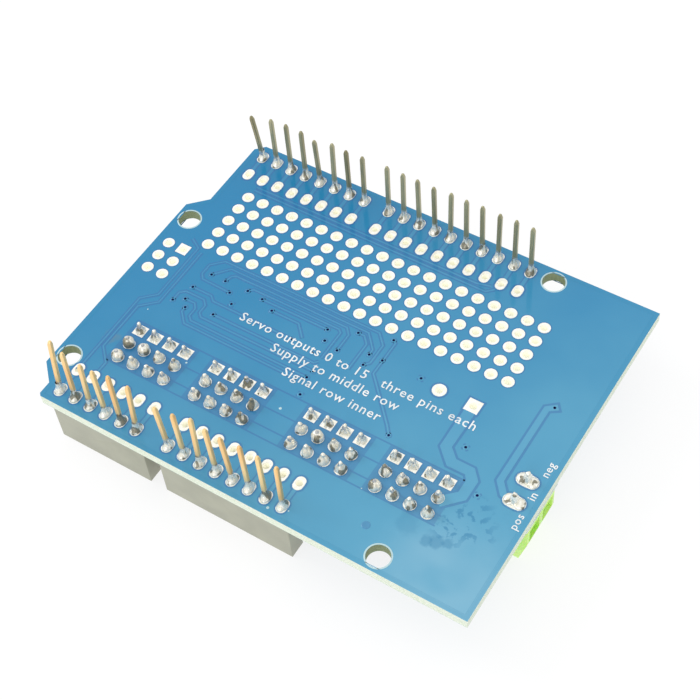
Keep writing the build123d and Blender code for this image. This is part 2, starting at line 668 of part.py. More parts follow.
# ---------------------------------------------------------------- reset button
def button_dome():
    """A thin snap disc, lying on the floor of the base."""
    disc_radius = DOME / 2
    ball = (disc_radius ** 2 + DOME_RISE ** 2) / (2 * DOME_RISE)
    floor = COPPER + BUTTON_FLOOR
    centre = Pos(0, 0, floor + DOME_RISE - ball)
    shell = centre * (Sphere(ball) - Sphere(ball - DOME_THICKNESS))
    return (shell & upright((DOME, DOME, DOME_RISE), floor)).solid()


def button_plunger():
    top = BUTTON_TOP + COPPER
    flange_high = COPPER + BUTTON_HEIGHT - FLANGE_GAP
    flange_low = flange_high - FLANGE_THICKNESS
    nib_low = COPPER + BUTTON_FLOOR + DOME_RISE + NIB_GAP
    plunger = Pos(0, 0, flange_low) * Cylinder(PLUNGER / 2, top - flange_low, align=GROWS)
    plunger += Pos(0, 0, flange_low) * Cylinder(FLANGE / 2, FLANGE_THICKNESS, align=GROWS)
    plunger += Pos(0, 0, nib_low) * Cylinder(NIB / 2, flange_low - nib_low, align=GROWS)
    return plunger.solid()


def reset_button():
    place = Pos(from_usb(BUTTON_X), from_digital(BUTTON_FROM_EDGE))
    base = upright((BUTTON_SIZE, BUTTON_SIZE, BUTTON_HEIGHT), COPPER)
    well = Pos(0, 0, COPPER + BUTTON_FLOOR) * Cylinder(BUTTON_WELL / 2, BUTTON_HEIGHT, align=GROWS)
    cover = upright((BUTTON_SIZE, BUTTON_SIZE, BUTTON_COVER), COPPER + BUTTON_HEIGHT)
    way = Pos(0, 0, COPPER) * Cylinder(PLUNGER / 2 + PLUNGER_FIT, 2 * BUTTON_HEIGHT, align=GROWS)
    add("button_base", place * (base - well).solid())
    add("button_cover", place * (cover - way).solid())
    add("button_dome", place * button_dome())
    add("button_plunger", place * button_plunger())
    width, thickness = BUTTON_LEAD
    foot_x = (BUTTON_SIZE + BUTTON_LEAD_REACH) / 2
    for x in (-foot_x, foot_x):
        for y in centred(2, BUTTON_LEAD_STEP):
            foot = upright((BUTTON_LEAD_REACH, width, thickness), COPPER)
            add("button_leads", place * Pos(x, y) * foot)
            add("surface_lands", place * Pos(x, y) * upright((BUTTON_LEAD_REACH, width, COPPER)))


# ---------------------------------------------------------------- turn over and write
def write_nodes():
    os.makedirs("parts", exist_ok=True)
    turned_over = Pos(0, 0, HEADER_HEIGHT) * Rot(0, 180, 0)
    for name, solids in nodes.items():
        whole = solids[0] if len(solids) == 1 else Compound(children=solids)
        export_step(turned_over * whole, f"parts/{name}.step")
        print(f"{name}: {len(solids)}")


add("circuit_board", circuit_board().solid())
plated_holes()
stacking_headers()
solder()
servo_headers()
terminal_block()
surface_parts()
address_lands()
reset_button()
write_nodes()
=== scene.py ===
# %% [markdown]
# # A servo driver board, seen from its solder side
#
# The real thing is a printed circuit board that stacks on a microcontroller board. It lies on the
# mouths of its four stacking headers, so what shows is the back of the board: blue solder mask,
# bright tinned lands, solder joints and long square pins.
#
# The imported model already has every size. This file keeps the laminate as it is and makes better
# pieces for what is soft-edged or irregular: solder, plated lands, bent pins, moulded plastic.

import math
import random

import bmesh
import bpy
from mathutils import Matrix, Vector


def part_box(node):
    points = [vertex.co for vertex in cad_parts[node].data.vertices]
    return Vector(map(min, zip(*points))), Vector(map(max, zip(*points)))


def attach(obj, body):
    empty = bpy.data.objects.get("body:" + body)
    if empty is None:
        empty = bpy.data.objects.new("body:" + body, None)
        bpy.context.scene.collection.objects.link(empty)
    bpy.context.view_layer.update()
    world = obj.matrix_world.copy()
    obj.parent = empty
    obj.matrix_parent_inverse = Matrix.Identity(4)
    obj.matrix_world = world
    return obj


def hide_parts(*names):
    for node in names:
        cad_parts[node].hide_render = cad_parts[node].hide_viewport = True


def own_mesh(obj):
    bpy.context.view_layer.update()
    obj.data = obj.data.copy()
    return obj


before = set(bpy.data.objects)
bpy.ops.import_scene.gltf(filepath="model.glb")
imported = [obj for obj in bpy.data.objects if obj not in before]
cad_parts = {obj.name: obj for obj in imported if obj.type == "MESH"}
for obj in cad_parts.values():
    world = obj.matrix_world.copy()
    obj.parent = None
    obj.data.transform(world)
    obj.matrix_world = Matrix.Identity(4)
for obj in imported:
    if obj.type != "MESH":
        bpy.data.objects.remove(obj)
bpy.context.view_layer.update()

# %% [markdown]
# ## Units and landmarks
#
# Small electronics are easier to think about in millimetres, so shapes are drawn in millimetres
# and scaled once, when a piece is filed. Board layouts are drawn in mils, thousandths of an inch,
# from the two edges that meet at the power corner. The heights of the two faces come from the
# laminate's own box.

# %% Millimetres, mils and the two faces of the board
MM = 0.001
MIL = 0.0254
ROUTER_MARGIN = 0.4                 # the cut edge lies this far inside the nominal outline
FULL_TURN = 2 * math.pi


def box_mm(node):
    low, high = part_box(node)
    return low / MM, high / MM


board_low, board_high = box_mm("circuit_board")
FACE = board_high.z                 # solder face, upwards
UNDER = board_low.z                 # component face, downwards
USB_EDGE = board_high.x + ROUTER_MARGIN
POWER_EDGE = board_low.y - ROUTER_MARGIN


def on_board(x, y, z=0.0):
    """A place drawn in mils from the USB edge and the power edge, as millimetres in the frame."""
    return Vector((USB_EDGE - x * MIL, POWER_EDGE + y * MIL, z))


print("solder face at", round(FACE, 2), "mm, component face at", round(UNDER, 2), "mm")

# %% [markdown]
# ## Reading the frame
#
# Many nodes hold a whole family of small solids, such as the hundred lands of the prototyping
# area. Growing outwards from one vertex along edges finds one solid at a time, and its box, its
# hole and whether it has corners are all that a new piece needs to know.

# %% Find the separate solids in a node
def spread(start, seen):
    """Every vertex joined to a first one by edges."""
    found, waiting = [], [start]
    seen.add(start)
    while waiting:
        vertex = waiting.pop()
        found.append(vertex)
        for edge in vertex.link_edges:
            other = edge.other_vert(vertex)
            if other not in seen:
                seen.add(other)
                waiting.append(other)
    return found


def welded(node):
    """A copy of a CAD node in millimetres, with its loose triangles joined up."""
    shape = bmesh.new()
    shape.from_mesh(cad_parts[node].data)
    bmesh.ops.scale(shape, vec=(1 / MM,) * 3, verts=shape.verts)
    bmesh.ops.remove_doubles(shape, verts=shape.verts, dist=0.001)
    return shape


def solids_of(node):
    """Centre, size, hole radius and squareness of each solid in a node, along x and then y."""
    shape = welded(node)
    solids, seen = [], set()
    for vertex in shape.verts:
        if vertex in seen:
            continue
        points = [v.co.copy() for v in spread(vertex, seen)]
        low = Vector([min(p[i] for p in points) for i in range(3)])
        high = Vector([max(p[i] for p in points) for i in range(3)])
        centre, size = (low + high) / 2, high - low
        hole = min((p - centre).xy.length for p in points)
        square = any((p - high).xy.length < 0.05 for p in points)
        solids.append({"at": centre, "size": size, "hole": hole, "square": square})
    shape.free()
    return sorted(solids, key=lambda s: (round(s["at"].x, 1), s["at"].y))


LAND_NODES = (
    "header_lands", "second_row_lands", "prototype_lands", "terminal_lands",
    "programming_lands", "servo_lands", "capacitor_lands",
)
lands = {node: solids_of(node) for node in LAND_NODES}
for node, found in lands.items():
    print(node, len(found), "first size", [round(v, 2) for v in found[0]["size"]])

# %% [markdown]
# ## Filing a piece
#
# A finished piece's object sits at the origin with its place in its mesh, like a CAD node's. One
# function does the scaling, the smooth shading with its sharp edges and the ride, so that no piece
# forgets one of them. What repeats, such as a land, is made once as a template and stamped into
# the piece at each of its places.

# %% Turn a shape into a piece
def show(name, data):
    """Put a mesh, curve, light or camera in the scene as an object."""
    shown = bpy.data.objects.new(name, data)
    bpy.context.scene.collection.objects.link(shown)
    return shown


def file_piece(name, shape, finish, body="board", stands_for=(), smooth=35):
    """Make a shape drawn in millimetres a piece that rides on a body."""
    bmesh.ops.recalc_face_normals(shape, faces=shape.faces)
    bmesh.ops.scale(shape, vec=(MM,) * 3, verts=shape.verts)
    mesh = bpy.data.meshes.new(name)
    shape.to_mesh(mesh)
    shape.free()
    mesh.materials.append(finish)
    mesh.shade_smooth()
    mesh.set_sharp_from_angle(angle=math.radians(smooth))
    piece = show(name, mesh)
    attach(piece, body)
    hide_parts(*stands_for)
    print(f"{name}: {len(mesh.polygons)} faces on {body}")
    return piece


# %% Stamp copies of one shape into another
def keep_mesh(shape):
    """Freeze a shape as a mesh that can be stamped many times."""
    mesh = bpy.data.meshes.new("template")
    shape.to_mesh(mesh)
    shape.free()
    return mesh


def stamp(shape, template, matrix):
    """Add a template to a shape at a place, and return its new vertices."""
    before = len(shape.verts)
    shape.from_mesh(template)
    shape.verts.ensure_lookup_table()
    fresh = shape.verts[before:]
    bmesh.ops.transform(shape, matrix=matrix, verts=fresh)
    return fresh


def moved(x, y, z=0.0, turn=0.0):
    return Matrix.Translation((x, y, z)) @ Matrix.Rotation(turn, 4, "Z")


def scatter(template, places, level):
    """A new shape with a template stamped at each mil place."""
    shape = bmesh.new()
    for place in places:
        stamp(shape, template, Matrix.Translation(on_board(*place, level)))
    return shape


def paint_node(name, finish):
    """Put a finish on a CAD node, whose mesh stays as it is."""
    for material_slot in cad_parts[name].material_slots:
        material_slot.material = finish


# %% [markdown]
# ## Shapes that come up again and again
#
# Round things are a profile spun about z. Square pins are one face, grown upwards by extruding it.
# Flat strips along a route are a poly curve with a small bevel profile, because a curve keeps its
# width round corners, which a row of boxes can't.

# %% Spun shapes
def lathe(profile, steps, closed=False):
    """Spin points of (radius, height) about z."""
    shape = bmesh.new()
    line = [shape.verts.new((radius, 0, height)) for radius, height in profile]
    pairs = list(zip(line, line[1:])) + ([(line[-1], line[0])] if closed else [])
    edges = [shape.edges.new(pair) for pair in pairs]
    bmesh.ops.spin(
        shape, geom=line + edges, cent=(0, 0, 0), axis=(0, 0, 1),
        angle=FULL_TURN, steps=steps, use_merge=True)
    bmesh.ops.remove_doubles(shape, verts=shape.verts, dist=0.0005)
    bmesh.ops.recalc_face_normals(shape, faces=shape.faces)
    return shape


# %% Posts grown from one face
def post(sections):
    """A closed rectangular post through sections of (height, width, depth, x, y)."""
    shape = bmesh.new()
    corners = ((-1, -1), (1, -1), (1, 1), (-1, 1))

    def spots(height, width, depth, x=0.0, y=0.0):
        return [Vector((x + i * width / 2, y + j * depth / 2, height)) for i, j in corners]

    foot = top = shape.faces.new([shape.verts.new(spot) for spot in spots(*sections[0])])
    for section in sections[1:]:
        below = top
        before = [v.co.copy() for v in below.verts]
        grown = bmesh.ops.extrude_face_region(shape, geom=[below])["geom"]
        top = next(f for f in grown if isinstance(f, bmesh.types.BMFace))
        targets = spots(*section)
        for vertex in top.verts:
            nearest = min(range(4), key=lambda i: (before[i] - vertex.co).length)
            vertex.co = targets[nearest]
        ordered = [min(top.verts, key=lambda v: (v.co - t).length) for t in targets]
        shape.faces.remove(top)
        top = shape.faces.new(ordered)
        if below is not foot:
            shape.faces.remove(below)       # it would be a wall inside the post
    bmesh.ops.recalc_face_normals(shape, faces=shape.faces)
    return shape


def soften(shape, width, segments=2, limit=30, pick=None):
    """Round the sharp edges of a shape, or only those that pick chooses."""
    edges = [e for e in shape.edges if e.is_manifold and (pick is None or pick(e))]
    sharp = [e for e in edges if e.calc_face_angle(0) > math.radians(limit)]
    bmesh.ops.bevel(
        shape, geom=sharp, offset=width, offset_type="OFFSET", segments=segments,
        profile=0.5, affect="EDGES", clamp_overlap=True, material=-1)
    return shape


# %% Flat strips along routes
def drawn_mesh(curve):
    """A curve or a line of lettering as a plain mesh."""
    drawn = show("drawn", curve)
    bpy.context.view_layer.update()
    graph = bpy.context.evaluated_depsgraph_get()
    mesh = bpy.data.meshes.new_from_object(drawn.evaluated_get(graph))
    bpy.data.objects.remove(drawn)
    return mesh


def strips(routes, width, height, level, closed=False):
    """Low strips with sloping sides along routes of mil places, as one shape."""
    profile = bpy.data.curves.new("strip_profile", "CURVE")
    outline = profile.splines.new("POLY")
    half, slope = width / 2, min(height, width / 4)
    corners = ((-half, 0), (slope - half, height), (half - slope, height), (half, 0))
    outline.points.add(len(corners) - 1)
    for point, (across, up) in zip(outline.points, corners):
        point.co = (across, up, 0, 1)
    outline.use_cyclic_u = True
    section = show("strip_profile", profile)
    curve = bpy.data.curves.new("strips", "CURVE")
    curve.dimensions = "3D"
    curve.twist_mode = "Z_UP"
    curve.bevel_mode = "OBJECT"
    curve.bevel_object = section
    curve.use_fill_caps = not closed
    for route in routes:
        spline = curve.splines.new("POLY")
        spline.points.add(len(route) - 1)
        for point, place in zip(spline.points, route):
            point.co = (*on_board(*place, level), 1)
        spline.use_cyclic_u = closed
    shape = bmesh.new()
    shape.from_mesh(drawn_mesh(curve))
    bpy.data.objects.remove(section)
    return shape


def to_underside(shape):
    """Mirror a shape drawn on the solder face to the component face."""
    middle = Matrix.Translation((0, 0, FACE + UNDER))
    bmesh.ops.transform(shape, matrix=middle @ Matrix.Diagonal((1, 1, -1, 1)), verts=shape.verts)
    bmesh.ops.reverse_faces(shape, faces=shape.faces)
    return shape


def mils_of(point):
    """The mil place of a point given in millimetres."""
    return ((USB_EDGE - point.x) / MIL, (point.y - POWER_EDGE) / MIL)


# %% Casts of CAD nodes
def cast_of(node):
    """A welded copy of a CAD node in millimetres, its flat faces made whole."""
    shape = welded(node)
    bmesh.ops.dissolve_limit(
        shape, angle_limit=math.radians(1), verts=shape.verts, edges=shape.edges)
    return shape


def rounded_cast(node, width, margin=0.02):
    """A cast with the edges along the outside of its box rounded, as a mould leaves them."""
    low, high = box_mm(node)

    def outermost(edge):
        sides = 0
        for i in range(3):
            for limit in (low[i], high[i]):
                sides += all(abs(v.co[i] - limit) < margin for v in edge.verts)
        return sides >= 2

    return soften(cast_of(node), width, pick=outermost)


# %% [markdown]
# ## Shader maths that reads like arithmetic
#
# A material here is a small calculation: a place goes in, a colour and a roughness come out. A
# wrapper round one socket turns + and * into Math nodes, so that a finish reads as a formula.
# Colours go through Mix nodes instead, because a Math node would turn them grey. The sky has a
# node tree too, so what both need is in a class of its own.

# %% Values that do arithmetic
class Value:
    """A node's output; arithmetic on it adds Math nodes to its tree."""

    def __init__(self, nodes, socket):
        self.nodes, self.socket = nodes, socket

    def maths(self, operation, *others):
        inputs = dict(enumerate((self, *others)))
        return self.nodes.node("ShaderNodeMath", {"operation": operation}, inputs)

    def __add__(self, other):
        return self.maths("ADD", other)

    def __sub__(self, other):
        return self.maths("SUBTRACT", other)

    def __rsub__(self, other):
        return self.nodes.node("ShaderNodeMath", {"operation": "SUBTRACT"}, {0: other, 1: self})

    def __mul__(self, other):
        return self.maths("MULTIPLY", other)

    def __gt__(self, other):
        return self.maths("GREATER_THAN", other)

    def __lt__(self, other):
        return self.maths("LESS_THAN", other)

    __radd__ = __add__
    __rmul__ = __mul__

    def ramp(self, low, high):
        """0 below low, 1 above high, and smooth between."""
        inputs = {"Value": self, "From Min": low, "From Max": high}
        return self.nodes.node("ShaderNodeMapRange", {"interpolation_type": "SMOOTHSTEP"}, inputs)


# %% A material and the nodes it is made of
def colour(red, green, blue):
    """An everyday 0 to 255 colour as the linear numbers that shaders use."""
    def linear(level):
        share = level / 255
        return share / 12.92 if share <= 0.04045 else ((share + 0.055) / 1.055) ** 2.4

    return (linear(red), linear(green), linear(blue), 1.0)


class Nodes:
    """The node tree of a material or of the sky."""

    def __init__(self, owner):
        owner.use_nodes = True
        self.tree = owner.node_tree

    def node(self, kind, settings=None, inputs=None, output=0):
        """Add any node: its settings first, then the values or links of its sockets."""
        made = self.tree.nodes.new(kind)
        for setting, value in (settings or {}).items():
            setattr(made, setting, value)
        for socket, value in (inputs or {}).items():
            self.feed(made.inputs[socket], value)
        return Value(self, made.outputs[output])

    def feed(self, socket, value):
        if isinstance(value, Value):
            self.tree.links.new(value.socket, socket)
        else:
            socket.default_value = value


class Paint(Nodes):
    """One material, with the few nodes that every finish starts from."""

    def __init__(self, name, **fixed):
        self.material = bpy.data.materials.new(name)
        super().__init__(self.material)
        self.shader = self.tree.nodes["Principled BSDF"]
        for socket, value in fixed.items():
            self.shader.inputs[socket.replace("_", " ")].default_value = value
        place = self.node("ShaderNodeTexCoord", output="Object")
        self.place = self.node(
            "ShaderNodeVectorMath", {"operation": "SCALE"}, {0: place, "Scale": 1 / MM}, "Vector")
        self.x, self.y, self.z = (
            self.node("ShaderNodeSeparateXYZ", {}, {0: self.place}, axis) for axis in "XYZ")

    def noise(self, size, detail=2.0, stretch=(1, 1, 1)):
        """Soft random light and dark, with blotches about size millimetres across."""
        place = self.node(
            "ShaderNodeVectorMath", {"operation": "MULTIPLY"}, {0: self.place, 1: stretch}, "Vector")
        inputs = {"Vector": place, "Scale": 1 / size, "Detail": detail}
        return self.node("ShaderNodeTexNoise", {}, inputs, 0)

    def mix(self, share, first, second):
        """Blend two colours by a share from 0 to 1."""
        inputs = {0: share, 6: first, 7: second}
        return self.node("ShaderNodeMix", {"data_type": "RGBA"}, inputs, 2)

    def spot(self, x, y, radius, ragged=0.35, soft=0.5):
        """A soft-edged round patch at a mil place, its edge broken up by noise."""
        middle = on_board(x, y)
        across, along = self.x - middle.x, self.y - middle.y
        far = (across * across + along * along).maths("SQRT")
        wander = (self.noise(radius * 0.6, 5.0) - 0.5) * (3 * ragged * radius)
        return 1 - (far + wander).ramp(radius * soft, radius)

    def finish(self, base, rough, bump=None, depth=0.02, **others):
        """Plug the worked-out values into the shader."""
        self.feed(self.shader.inputs["Base Color"], base)
        self.feed(self.shader.inputs["Roughness"], rough)
        for socket, value in others.items():
            self.feed(self.shader.inputs[socket.replace("_", " ")], value)
        if bump is not None:
            inputs = {"Height": bump, "Distance": depth * MM, "Strength": 1.0}
            self.feed(self.shader.inputs["Normal"], self.node("ShaderNodeBump", {}, inputs, "Normal"))
        return self.material


print("shader helpers ready")

# %% [markdown]
# ## Solder mask and laminate
#
# The mask is a thin glossy lacquer over copper. Over bare laminate it looks darker and more
# purple. Flux that was wiped off the solder face has left a few marks in it, and the blue is
# painted lighter towards one corner, with a milky patch there: a painted sheen of the gloss. The
# cut edge shows the glass cloth and resin, pale and fibrous, painted darker down the bolt holes as
# painted shade. One material does both faces and the edge, switched by height, because all of
# them are one CAD node.

# %% The board
MASK_DEEP = colour(0, 124, 174)
# the lighter blue that the mask is painted towards in one corner, a painted sheen
MASK_SHEEN = colour(86, 162, 194)
MASK_BARE = colour(44, 92, 160)
MASK_RIM = colour(4, 130, 172)
SKIN = 0.02                         # thickness of lacquer that counts as the face
MIDDLE = (FACE + UNDER) / 2
BOLT_PLACES = ((550, 100), (600, 2000), (2600, 300), (2600, 1400))
BORE_REACH = 1.95                   # the wall of a bolt hole lies within this of its middle
FLUX_MARKS = ((395, 287, 1.0, 0.4), (350, 305, 1.2, 0.42), (300, 325, 0.9, 0.4), (520, 325, 2.0, 0.2))


def between_faces(paint):
    """1 on the cut edge and down the holes, 0 on the two faces."""
    return (paint.z > UNDER + SKIN) * (paint.z < FACE - SKIN)


def mask_tone(paint):
    """The lacquer's blue, painted lighter towards the corner of the USB and power edges, with a milky
    patch by the terminals: a painted sheen of the gloss.
    """
    along = (paint.x - board_low.x) * (1 / (board_high.x - board_low.x))
    down = (board_high.y - paint.y) * (1 / (board_high.y - board_low.y))
    # lighter towards the corner of the USB and power edges: a painted sheen of the gloss
    clouds = (paint.noise(16.0, 3.0) - 0.5) * 0.45
    blue = paint.mix((along * 0.55 + down * 0.45 + clouds).ramp(0.1, 1.15), MASK_DEEP, MASK_SHEEN)
    # a milky lighter patch in that corner, also painted sheen
    sheen_cloud = paint.spot(190, 110, 13.0, 0.25, 0.1) * paint.noise(9.0, 2.0).ramp(0.05, 0.5)
    return paint.mix(sheen_cloud * (paint.z > MIDDLE) * 0.5, blue, colour(142, 190, 212))


def flux_marks(paint, blue):
    """Dark flecks where flux was missed when the solder face was wiped, and one brown stain."""
    wiped = paint.z > MIDDLE
    for x, y, radius, strength in FLUX_MARKS:
        blue = paint.mix(paint.spot(x, y, radius, 0.3) * wiped * strength, blue, colour(16, 116, 160))
    flecks = paint.noise(1.1, 4.0).ramp(0.53, 0.6) * paint.spot(280, 470, 5.2, 0.3, 0.3) * wiped
    blue = paint.mix(flecks * 0.6, blue, colour(22, 118, 164))
    stain = paint.spot(2480, 510, 1.5, 0.4, 0.1) * wiped
    return paint.mix(stain * 0.5, blue, colour(112, 122, 118))


def board_paint():
    paint = Paint("mask_and_laminate", Coat_Roughness=0.07, Coat_IOR=1.5, Specular_IOR_Level=0.2)
    blue = flux_marks(paint, mask_tone(paint))
    fibre = paint.noise(0.22, 3.0, (1, 1, 6)).ramp(0.35, 0.7)
    laminate = paint.mix(fibre, colour(214, 228, 204), colour(252, 254, 244))
    # the walls of the bolt holes are painted darker olive: painted shade inside the holes
    bore_shade = sum((paint.spot(x, y, BORE_REACH, 0.0, 0.98) for x, y in BOLT_PLACES), 0.0)
    laminate = paint.mix(bore_shade, laminate, colour(146, 158, 124))
    cut = between_faces(paint)
    rough = cut * 0.3 + paint.noise(2.0, 3.0) * 0.12 + 0.28
    relief = paint.noise(0.5, 2.0) * 0.4 + cut * fibre
    return paint.finish(
        paint.mix(cut, blue, laminate), rough, relief, 0.012, Coat_Weight=(1 - cut) * 0.8)


def mask_paint(name, lift, bare=0.0, ground=MASK_BARE):
    """Lacquer on raised or bare ground: the same blue, lighter or more purple."""
    paint = Paint(name, Coat_Weight=0.8, Coat_Roughness=0.07, Specular_IOR_Level=0.2)
    blue = paint.mix(lift, mask_tone(paint), colour(120, 185, 215))
    blue = paint.mix(bare, blue, ground)
    return paint.finish(blue, paint.noise(1.5) * 0.12 + 0.28, paint.noise(0.5), 0.006)


paint_node("circuit_board", board_paint())
ridge_finish = mask_paint("mask_over_trace", 0.12)
groove_finish = mask_paint("mask_in_groove", 0.0, 0.46)
bare_finish = mask_paint("mask_over_bare_board", 0.0, 0.34)
rim_finish = mask_paint("mask_at_the_rim", 0.0, 0.2, MASK_RIM)
pale_finish = mask_paint("thin_lacquer", 0.0, 0.85, colour(196, 222, 222))
print("board and lacquer finishes made")

# %% [markdown]
# ## Metals
#
# Tin on the lands is almost white and a little uneven. Solder is creamier and glossier, with a few
# dark brownish streaks up its sides. The long pins are gilded brass, and the solder has crept up
# their first two millimetres, which a ragged change of colour with height shows.

# %% Tin, solder, gilt, steel and brass
def metal_paint(name, light, dark, rough, grain):
    paint = Paint(name, Metallic=1.0)
    blotch = paint.noise(grain, 3.0)
    tone = paint.mix(blotch.ramp(0.3, 0.7), colour(*dark), colour(*light))
    return paint.finish(tone, blotch * 0.18 + (rough - 0.09), paint.noise(grain / 3), 0.006)


WICKING = 1.9                       # how far solder creeps up a long pin


def pin_paint(name, light, dark):
    """Gilt above, solder below, with a ragged line between them."""
    paint = Paint(name, Metallic=0.6)
    creep = paint.noise(0.35, 3.0, (1, 1, 0.5)) * 1.2 - 0.6
    bare = (paint.z + creep).ramp(FACE + WICKING - 0.25, FACE + WICKING + 0.25)
    under = paint.z < UNDER
    streaks = paint.noise(1.6, 1.0, (1, 1, 0.12)).ramp(0.25, 0.65)
    gilt = paint.mix(streaks, colour(*dark), colour(*light))
    grey = paint.mix(paint.noise(0.3).ramp(0.3, 0.7), colour(176, 178, 180), colour(232, 232, 230))
    tone = paint.mix((bare + under).maths("MINIMUM", 1.0), grey, gilt)
    return paint.finish(tone, paint.noise(0.4) * 0.08 + 0.3, paint.noise(0.8), 0.001)


def tin_paint():
    """Bright tin on the lands, and down the barrels a whiter, non-metallic tin with a faint painted
    glow, so that the holes look lit.
    """
    # the emission is a painted glow, only in the barrels, which keeps the holes bright
    paint = Paint("tinned_copper", Emission_Strength=0.08)
    blotch = paint.noise(0.5, 3.0)
    tone = paint.mix(blotch.ramp(0.3, 0.7), colour(248, 246, 232), colour(255, 255, 250))
    glowing_barrel = between_faces(paint)
    return paint.finish(
        paint.mix(glowing_barrel, tone, colour(255, 254, 240)), blotch * 0.18 + 0.27, paint.noise(0.3), 0.003,
        Metallic=(1 - glowing_barrel) * 0.3,
        Emission_Color=paint.mix(glowing_barrel, (0, 0, 0, 1), colour(255, 250, 228)))


def solder_paint():
    """Cream-bright solder with a few dark brownish streaks that run upwards."""
    paint = Paint("solder", Metallic=0.5)
    blotch = paint.noise(0.4, 3.0)
    streak = paint.noise(1.0, 1.5, (1, 1, 0.4)).ramp(0.54, 0.6)
    tone = paint.mix(blotch.ramp(0.3, 0.7), colour(238, 234, 216), colour(255, 254, 246))
    tone = paint.mix(streak * 0.8, tone, colour(96, 92, 68))
    return paint.finish(tone, blotch * 0.12 + 0.2, paint.noise(0.5), 0.003)


tin_finish = tin_paint()
solder_finish = solder_paint()
gilt_finish = pin_paint("gilt_pin", (255, 222, 160), (248, 196, 128))
# a darker, olive copy of the same gilt: painted shade for the pins of the digital headers
shaded_gilt_finish = pin_paint("shaded_gilt_pin", (176, 172, 138), (140, 134, 100))
steel_finish = metal_paint("plated_steel", (222, 222, 220), (176, 176, 172), 0.3, 0.8)
brass_finish = metal_paint("brass", (214, 182, 112), (168, 132, 72), 0.32, 0.6)
print("metals made")

# %% [markdown]
# ## Plastics and ink
#
# Moulded plastic is never one flat colour: the surface has a fine spark-eroded grain and the tone
# drifts slightly. All the plastics here share one recipe with different numbers.

# %% Moulded plastics
def plastic_paint(name, light, dark, rough=0.45, grain=0.12, **fixed):
    paint = Paint(name, **fixed)
    drift = paint.noise(3.5, 3.0)
    tone = paint.mix(drift.ramp(0.3, 0.7), colour(*dark), colour(*light))
    return paint.finish(tone, drift * 0.12 + (rough - 0.06), paint.noise(grain, 2.0), 0.008)


grey_finish = plastic_paint("header_grey", (172, 173, 155), (162, 163, 146), 0.5)
yellow_finish = plastic_paint("strip_yellow", (236, 200, 40), (222, 182, 28))
red_finish = plastic_paint("strip_red", (196, 40, 34), (176, 30, 28))
black_finish = plastic_paint("strip_black", (38, 38, 40), (26, 26, 28))
moulding_finish = plastic_paint("moulded_black", (46, 46, 48), (34, 34, 36), 0.55)
ceramic_finish = plastic_paint("ceramic_tan", (188, 160, 120), (160, 132, 96), 0.5, 0.2)
resistor_finish = plastic_paint("resistor_black", (30, 30, 34), (20, 20, 24), 0.35, 0.2)
white_finish = plastic_paint("white_plastic", (234, 232, 222), (222, 220, 208))
lens_finish = plastic_paint(
    "lens", (228, 240, 214), (206, 226, 190), 0.2, Transmission_Weight=0.5)
green_finish = plastic_paint(
    "terminal_green", (210, 252, 134), (190, 244, 104), 0.38, 0.2,
    Subsurface_Weight=0.2, Subsurface_Scale=0.0015)
ink_finish = plastic_paint("silkscreen_ink", (240, 244, 244), (216, 224, 228), 0.6, 0.2)
# a near-black blue for the discs in the vias: painted shade of their holes
hole_shade_finish = plastic_paint(
    "via_shade_disc", (16, 20, 74), (10, 12, 52), 0.9, 0.2, Specular_IOR_Level=0.05)
print("plastics made")

# %% [markdown]
# ## Camera, floor and light
#
# The board is seen from above one long edge with a long lens. The floor is a plain pale light
# table at the height of the header mouths, so the holes in the board are never black. From below
# it is clear, which a mix shader does. Solder and tin are mirrors, so the sky is what gives them
# their shape: bright overhead, greyer towards the horizon and towards one side.

# %% Camera
CAMERA_PLACE = (0.07173, -0.09513, 0.17087)
CAMERA_AIM = Vector((-0.3544, 0.4781, -0.8037))
CAMERA_UP = Vector((-0.398, 0.700, 0.592))
CAMERA_LENS = 76.9

camera = show("camera", bpy.data.cameras.new("camera"))
camera.data.lens = CAMERA_LENS
camera.data.sensor_width = 36.0
camera.data.clip_start = 0.01       # a centimetre, so that a close view cuts nothing off
right_hand = CAMERA_AIM.cross(CAMERA_UP).normalized()
upwards = right_hand.cross(CAMERA_AIM).normalized()
camera.matrix_world = Matrix.Translation(CAMERA_PLACE) @ Matrix(
    (right_hand, upwards, -CAMERA_AIM.normalized())).transposed().to_4x4()
bpy.context.scene.camera = camera
bpy.context.scene.view_settings.view_transform = "Standard"
print("camera at", CAMERA_PLACE)

# %% Floor and sky
FLOOR_SIZE = 1.2
FLOOR_DROP = 0.05 * MM              # keeps the floor clear of the header mouths
floor_shape = bmesh.new()
bmesh.ops.create_grid(floor_shape, x_segments=8, y_segments=8, size=FLOOR_SIZE)
bmesh.ops.translate(floor_shape, vec=(0, 0, -FLOOR_DROP), verts=floor_shape.verts)
floor_mesh = bpy.data.meshes.new("floor")
floor_shape.to_mesh(floor_mesh)
floor_shape.free()
table = Paint("light_table", Emission_Color=(1.0, 1.0, 1.0, 1.0), Emission_Strength=0.8)
table.finish(table.mix(table.noise(40.0), colour(118, 118, 118), colour(122, 122, 122)), 0.8)
from_below = table.node("ShaderNodeNewGeometry", output="Backfacing")
solid = Value(table, table.shader.outputs[0])
clear = table.node("ShaderNodeBsdfTransparent")
shown = table.node("ShaderNodeMixShader", {}, {0: from_below, 1: solid, 2: clear})
table.feed(table.tree.nodes["Material Output"].inputs["Surface"], shown)
floor_mesh.materials.append(table.material)
floor = show("floor", floor_mesh)

world = bpy.data.worlds.new("studio")
bpy.context.scene.world = world
sky = Nodes(world)
gaze = sky.node("ShaderNodeTexCoord", output="Generated")


